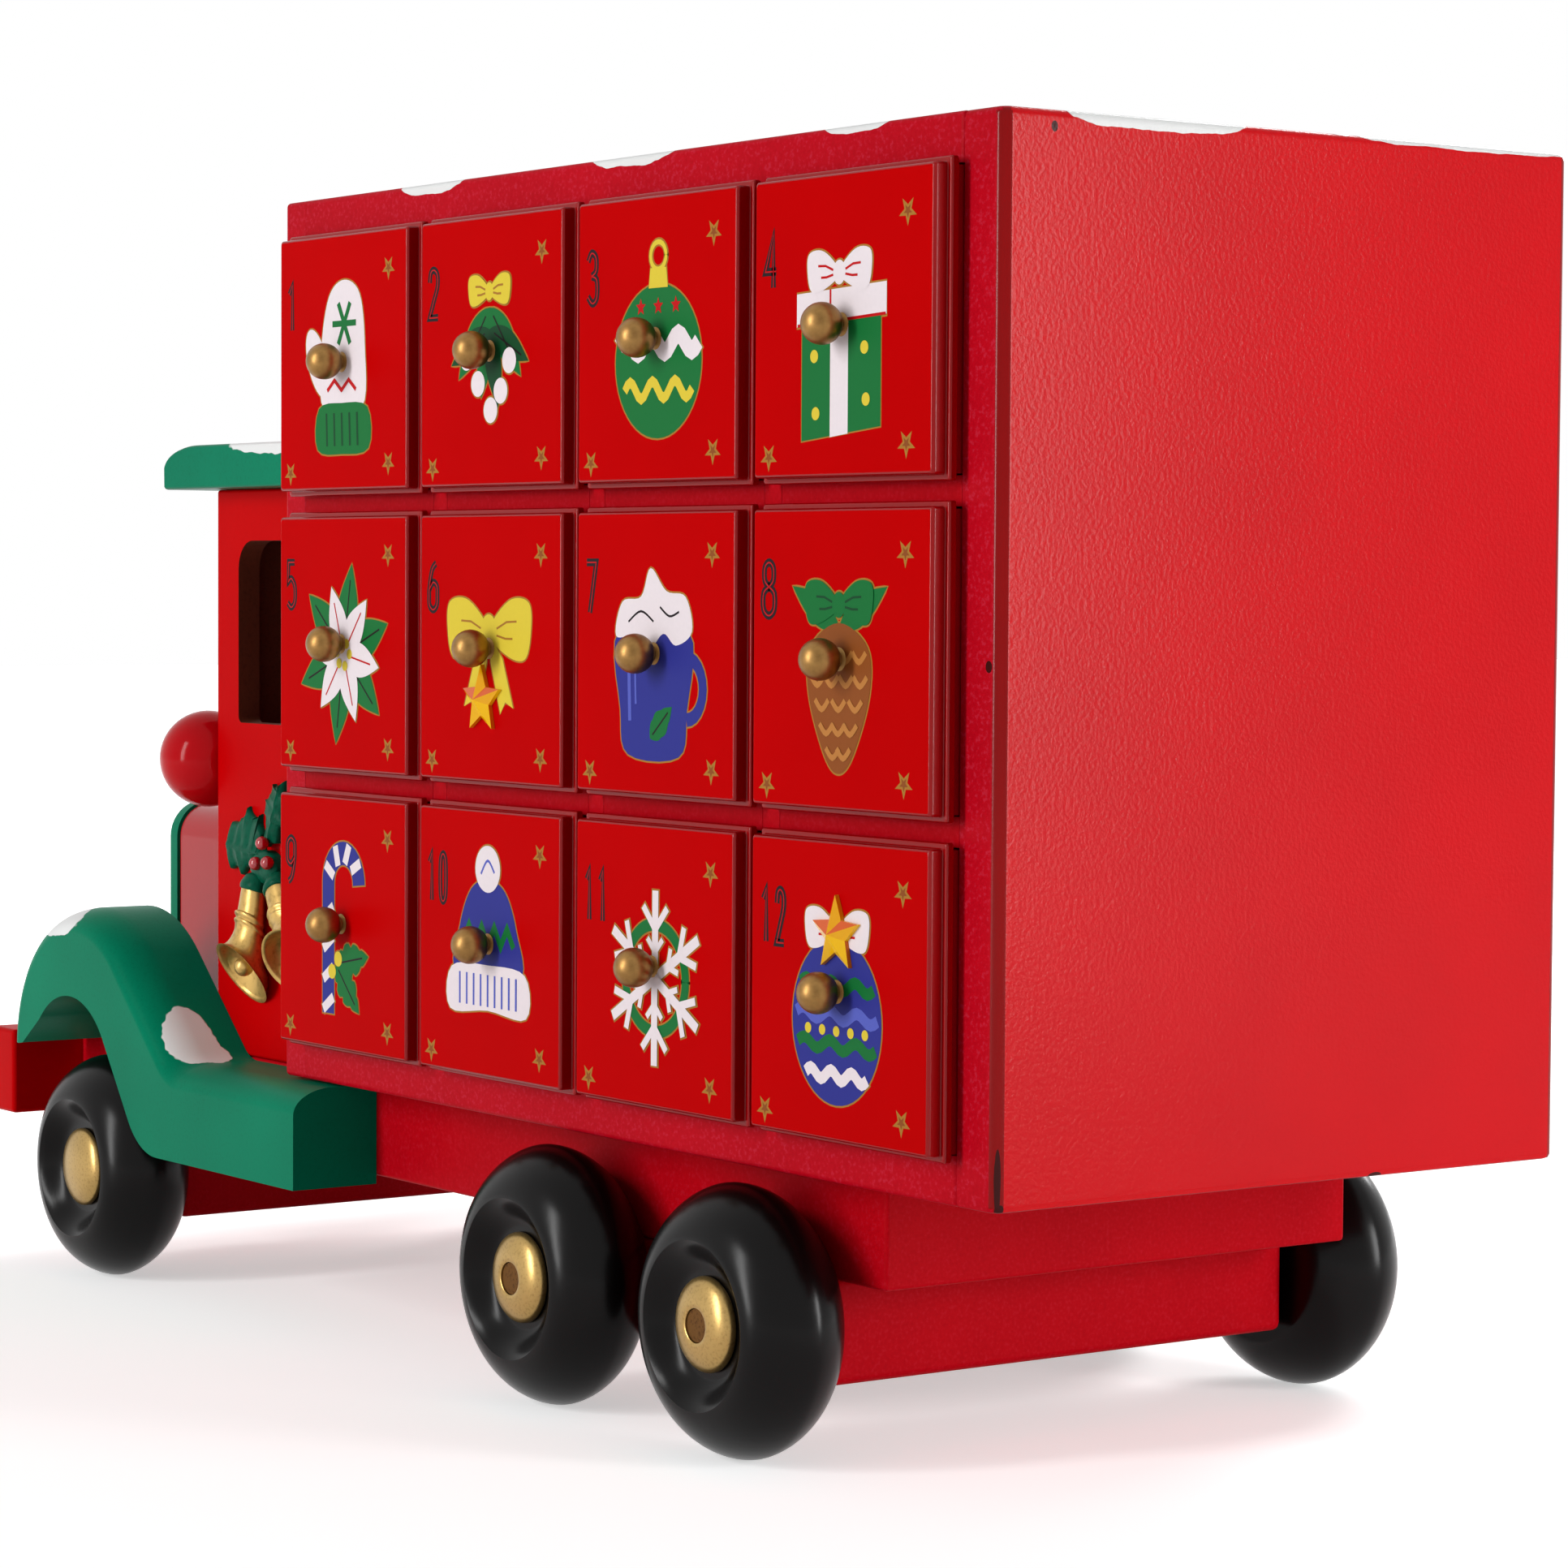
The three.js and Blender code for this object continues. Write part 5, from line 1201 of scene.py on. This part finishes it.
def bell_form():
    """The waisted bell with its two beads, hollow in the mouth, and the clapper in it."""
    bowl = BELL_WIDTHS[-1][1] - BELL_LIP
    widths = [(share, wide, 0) for share, wide in BELL_WIDTHS]
    widths += [(1, bowl + 0.5, 0.05), (1, bowl + 0.1, 0.3)]
    turns = [math.pi / 2 * i / 7 for i in range(1, 7)]
    widths += [(1, bowl * math.cos(turn), BELL_HOLLOW * math.sin(turn)) for turn in turns]
    bell = loft(bell_rings(widths))
    clapper = bmesh.new()
    bmesh.ops.create_uvsphere(clapper, u_segments=20, v_segments=12, radius=CLAPPER_RADIUS)
    mouth_out = BELL_WIDTHS[-1][1] * math.cos(math.radians(MOUTH_TILT))
    clapper.transform(Matrix.Translation((0, mouth_out - CLAPPER_SUNK, CLAPPER_RISE - BELL_LENGTH)))
    joined = bpy.data.meshes.new("clapper")
    clapper.to_mesh(joined)
    clapper.free()
    bell.from_mesh(joined)
    return bell


LEAF_ROWS = (1.0, 0.96, 0.8, 0.6, 0.4, 0.2, 0.05)  # from the edge to the rib
LEAF_SAG = 0.32  # how far the edge curves in between two spines
LEAF_EDGE = 0.5  # thickness at the edge, and just inside it
LEAF_THICK = 1.1
VEIN_DEPTH = 0.16
VEIN_PITCH = 1.9
RIB_RISE = 0.25


def holly_leaf(outline, rib, crown):
    """A spiny leaf from its outline in x and z, crowned towards its rib, with the veins pressed in."""
    dense = []
    for start, end in zip(outline, outline[1:] + outline[:1]):
        for i in range(6):
            t = i / 6
            sag = LEAF_SAG * t * (1 - t)
            to_rib = [rib[1][k] * t + rib[0][k] * (1 - t) for k in (0, 1)]
            dense.append([start[k] + (end[k] - start[k]) * t + (to_rib[k] - start[k]) * sag for k in (0, 1)])
    root, tip = Vector(rib[0]), Vector(rib[1])
    span = (tip - root).length
    rings = [[(x, GLUE_LINE, z) for x, z in dense]]
    for share in LEAF_ROWS:
        ring = []
        for point in dense:
            at = Vector(point)
            along = max(0.0, min(1.0, (at - root).dot(tip - root) / span**2))
            near = root + (tip - root) * along
            spot = near + (at - near) * share
            out = LEAF_EDGE if share == LEAF_ROWS[0] else LEAF_THICK
            out += crown * (1 - share**2) + VEIN_DEPTH * math.cos(along * span * VEIN_PITCH) * (1 - share)
            out += RIB_RISE if share == LEAF_ROWS[-1] else 0
            ring.append((spot.x, out, spot.y))
        rings.append(ring)
    bm = loft(rings)
    bmesh.ops.remove_doubles(bm, verts=bm.verts, dist=0.001)
    return bm


LEAVES = {  # outline, the ends of the rib, and how much the leaf is crowned
    "fore": ([(1.7, 1.0), (2.6, 5.0), (3.6, 9.4), (6.2, 8.6), (8.8, 10.8), (11.4, 8.4), (15.4, 7.4),
              (15.6, 4.6), (17.2, 2.0), (15.4, -0.4), (16.2, -2.9), (13.4, -2.2), (11.6, -3.9), (8.4, -2.0),
              (5.6, -1.6)],
             ((1.7, 1.0), (15.8, 2.4)), 1.3),
    "up": ([(0.6, 2.6), (1.6, 5.2), (0.9, 7.7), (1.6, 10.0), (1.3, 12.7), (-0.9, 13.9), (-2.0, 16.0),
            (-4.4, 15.8), (-8.1, 17.0), (-7.2, 14.4), (-8.2, 12.2), (-6.4, 10.4), (-6.8, 7.6), (-4.8, 6.6),
            (-4.0, 3.6)],
           ((-1.4, 2.8), (-7.0, 16.0)), 1.0),
}

for side, sign in (("left", 1), ("right", -1)):
    base = Matrix.Scale(sign, 4, (0, 1, 0)) @ Matrix.Translation(KNOT_PLACE)
    for name, (ahead, lean) in BELLS.items():
        hang = base @ Matrix.Translation((ahead, BELL_OUT, -BELL_DROP))
        hang = hang @ Matrix.Rotation(-math.radians(lean), 4, "Y")
        bell = hung(bell_form(), hang, sign)
        stands_for = [f"bell_ornament_{side}"] if name == "fore" else ()
        put(f"bell_{side}_{name}", bell, [gilt], "truck", stands_for, sharp=50)
        collar = hung(loft(bell_rings(COLLAR_WIDTHS, COLLAR_LIFT)), hang, sign)
        put(f"collar_{side}_{name}", collar, [holly_green], "truck", sharp=50)
    for name, (outline, rib, crown) in LEAVES.items():
        spiny = holly_leaf(outline, rib, crown)
        spiny.transform(base)
        put(f"holly_{side}_{name}", spiny, [holly_green], "truck", sharp=60)
    angles = [2 * math.pi * i / 32 for i in range(32)]
    knot = loft([[(KNOT_MIDDLE[0] + (KNOT_RADII[0] - inset) * math.cos(t), out,
                   KNOT_MIDDLE[1] + (KNOT_RADII[1] - inset) * math.sin(t)) for t in angles]
                 for inset, out in KNOT_LAYERS])
    knot.transform(base)
    put(f"knot_{side}", knot, [holly_green], "truck")
    for i, (ahead, up) in enumerate(BERRIES):
        berry = bmesh.new()
        bmesh.ops.create_uvsphere(berry, u_segments=20, v_segments=12, radius=BERRY_RADIUS)
        berry.transform(base @ Matrix.Translation((ahead, BERRY_OUT, up)))
        put(f"berry_{side}_{i}", berry, [berry_red], "truck")


# Stage: a pale floor that keeps the truck's shadow, a white world behind it, and soft boxes.
# One box is beside the drawers, one behind the rear panel to draw the sheen across it.
FLOOR_HALF = 6  # in metres, as are the lamps' distances and sizes
FLOOR_DROP = 0.0002
FLOOR_NEAR = 0.25
FLOOR_FAR = 1.6
FLOOR_GLOW = 0.5
WORLD_FILL = 0.22
PAPER_WHITE = (0.93, 0.93, 0.93, 1)
LIGHT_WHITE = (1, 1, 1, 1)
AIM = Vector((0, 0, 0.12))


def seen_directly(tree):
    """1 for rays of the camera, mirrors and glass, 0 for the light that falls on the truck."""
    path = add_node(tree, "LightPath")
    seen = path.outputs["Is Camera Ray"]
    for ray in ("Is Glossy Ray", "Is Transmission Ray"):
        seen = add_node(tree, "Math", {0: seen, 1: path.outputs[ray]}, operation="MAXIMUM")
    return seen


# Matt white paper: it glows more with distance, so that its far edge fades into the white world.
paper, tree, shader = new_material("pale_floor", 0.8, Specular_IOR_Level=0.05)
shader.inputs["Base Color"].default_value = PAPER_WHITE
shader.inputs["Emission Color"].default_value = LIGHT_WHITE
place = add_node(tree, "TexCoord").outputs["Object"]
away = add_node(tree, "VectorMath", {0: place}, operation="LENGTH")
fade = {"Value": away, "From Min": FLOOR_NEAR, "From Max": FLOOR_FAR, "To Min": FLOOR_GLOW}
far = add_node(tree, "MapRange", fade)
strength = add_node(tree, "Math", {0: far, 1: seen_directly(tree)}, operation="MULTIPLY")
tree.links.new(strength.outputs[0], shader.inputs["Emission Strength"])

floor_mesh = bpy.data.meshes.new("floor")
floor_bm = bmesh.new()
bmesh.ops.create_grid(floor_bm, x_segments=1, y_segments=1, size=FLOOR_HALF)
floor_bm.to_mesh(floor_mesh)
floor_bm.free()
floor_mesh.materials.append(paper)
floor = bpy.data.objects.new("floor", floor_mesh)
bpy.context.scene.collection.objects.link(floor)
floor.location.z = -FLOOR_DROP

world = bpy.data.worlds.new("white_room")
world.use_nodes = True
tree = world.node_tree
tree.nodes.clear()
level = add_node(tree, "MapRange", {"Value": seen_directly(tree), "To Min": WORLD_FILL})
sky = add_node(tree, "Background", {"Color": LIGHT_WHITE, "Strength": level})
add_node(tree, "OutputWorld", {"Surface": sky})
bpy.context.scene.world = world


def soft_box(name, azimuth, elevation, distance, width, height, watts):
    """An upright rectangular lamp aimed at the middle of the truck; azimuth 90 is the truck's left."""
    light = bpy.data.lights.new(name, "AREA")
    light.shape = "RECTANGLE"
    light.energy = watts
    light.size = width
    light.size_y = height
    lamp = bpy.data.objects.new(name, light)
    bpy.context.scene.collection.objects.link(lamp)
    a, e = math.radians(azimuth), math.radians(elevation)
    away = Vector((math.cos(a) * math.cos(e), math.sin(a) * math.cos(e), math.sin(e)))
    turn = away.to_track_quat("Z", "Y").to_matrix().to_4x4()
    lamp.matrix_world = Matrix.Translation(AIM + away * distance) @ turn


soft_box("drawer_side_box", azimuth=84, elevation=16, distance=1.65, width=0.27, height=1.1, watts=17)
soft_box("rear_sheen_box", azimuth=204, elevation=8, distance=1.374, width=0.28, height=0.6, watts=10)
soft_box("far_side_box", azimuth=292, elevation=28, distance=1.7, width=0.6, height=1.0, watts=20)

bpy.context.scene.view_settings.view_transform = "Standard"
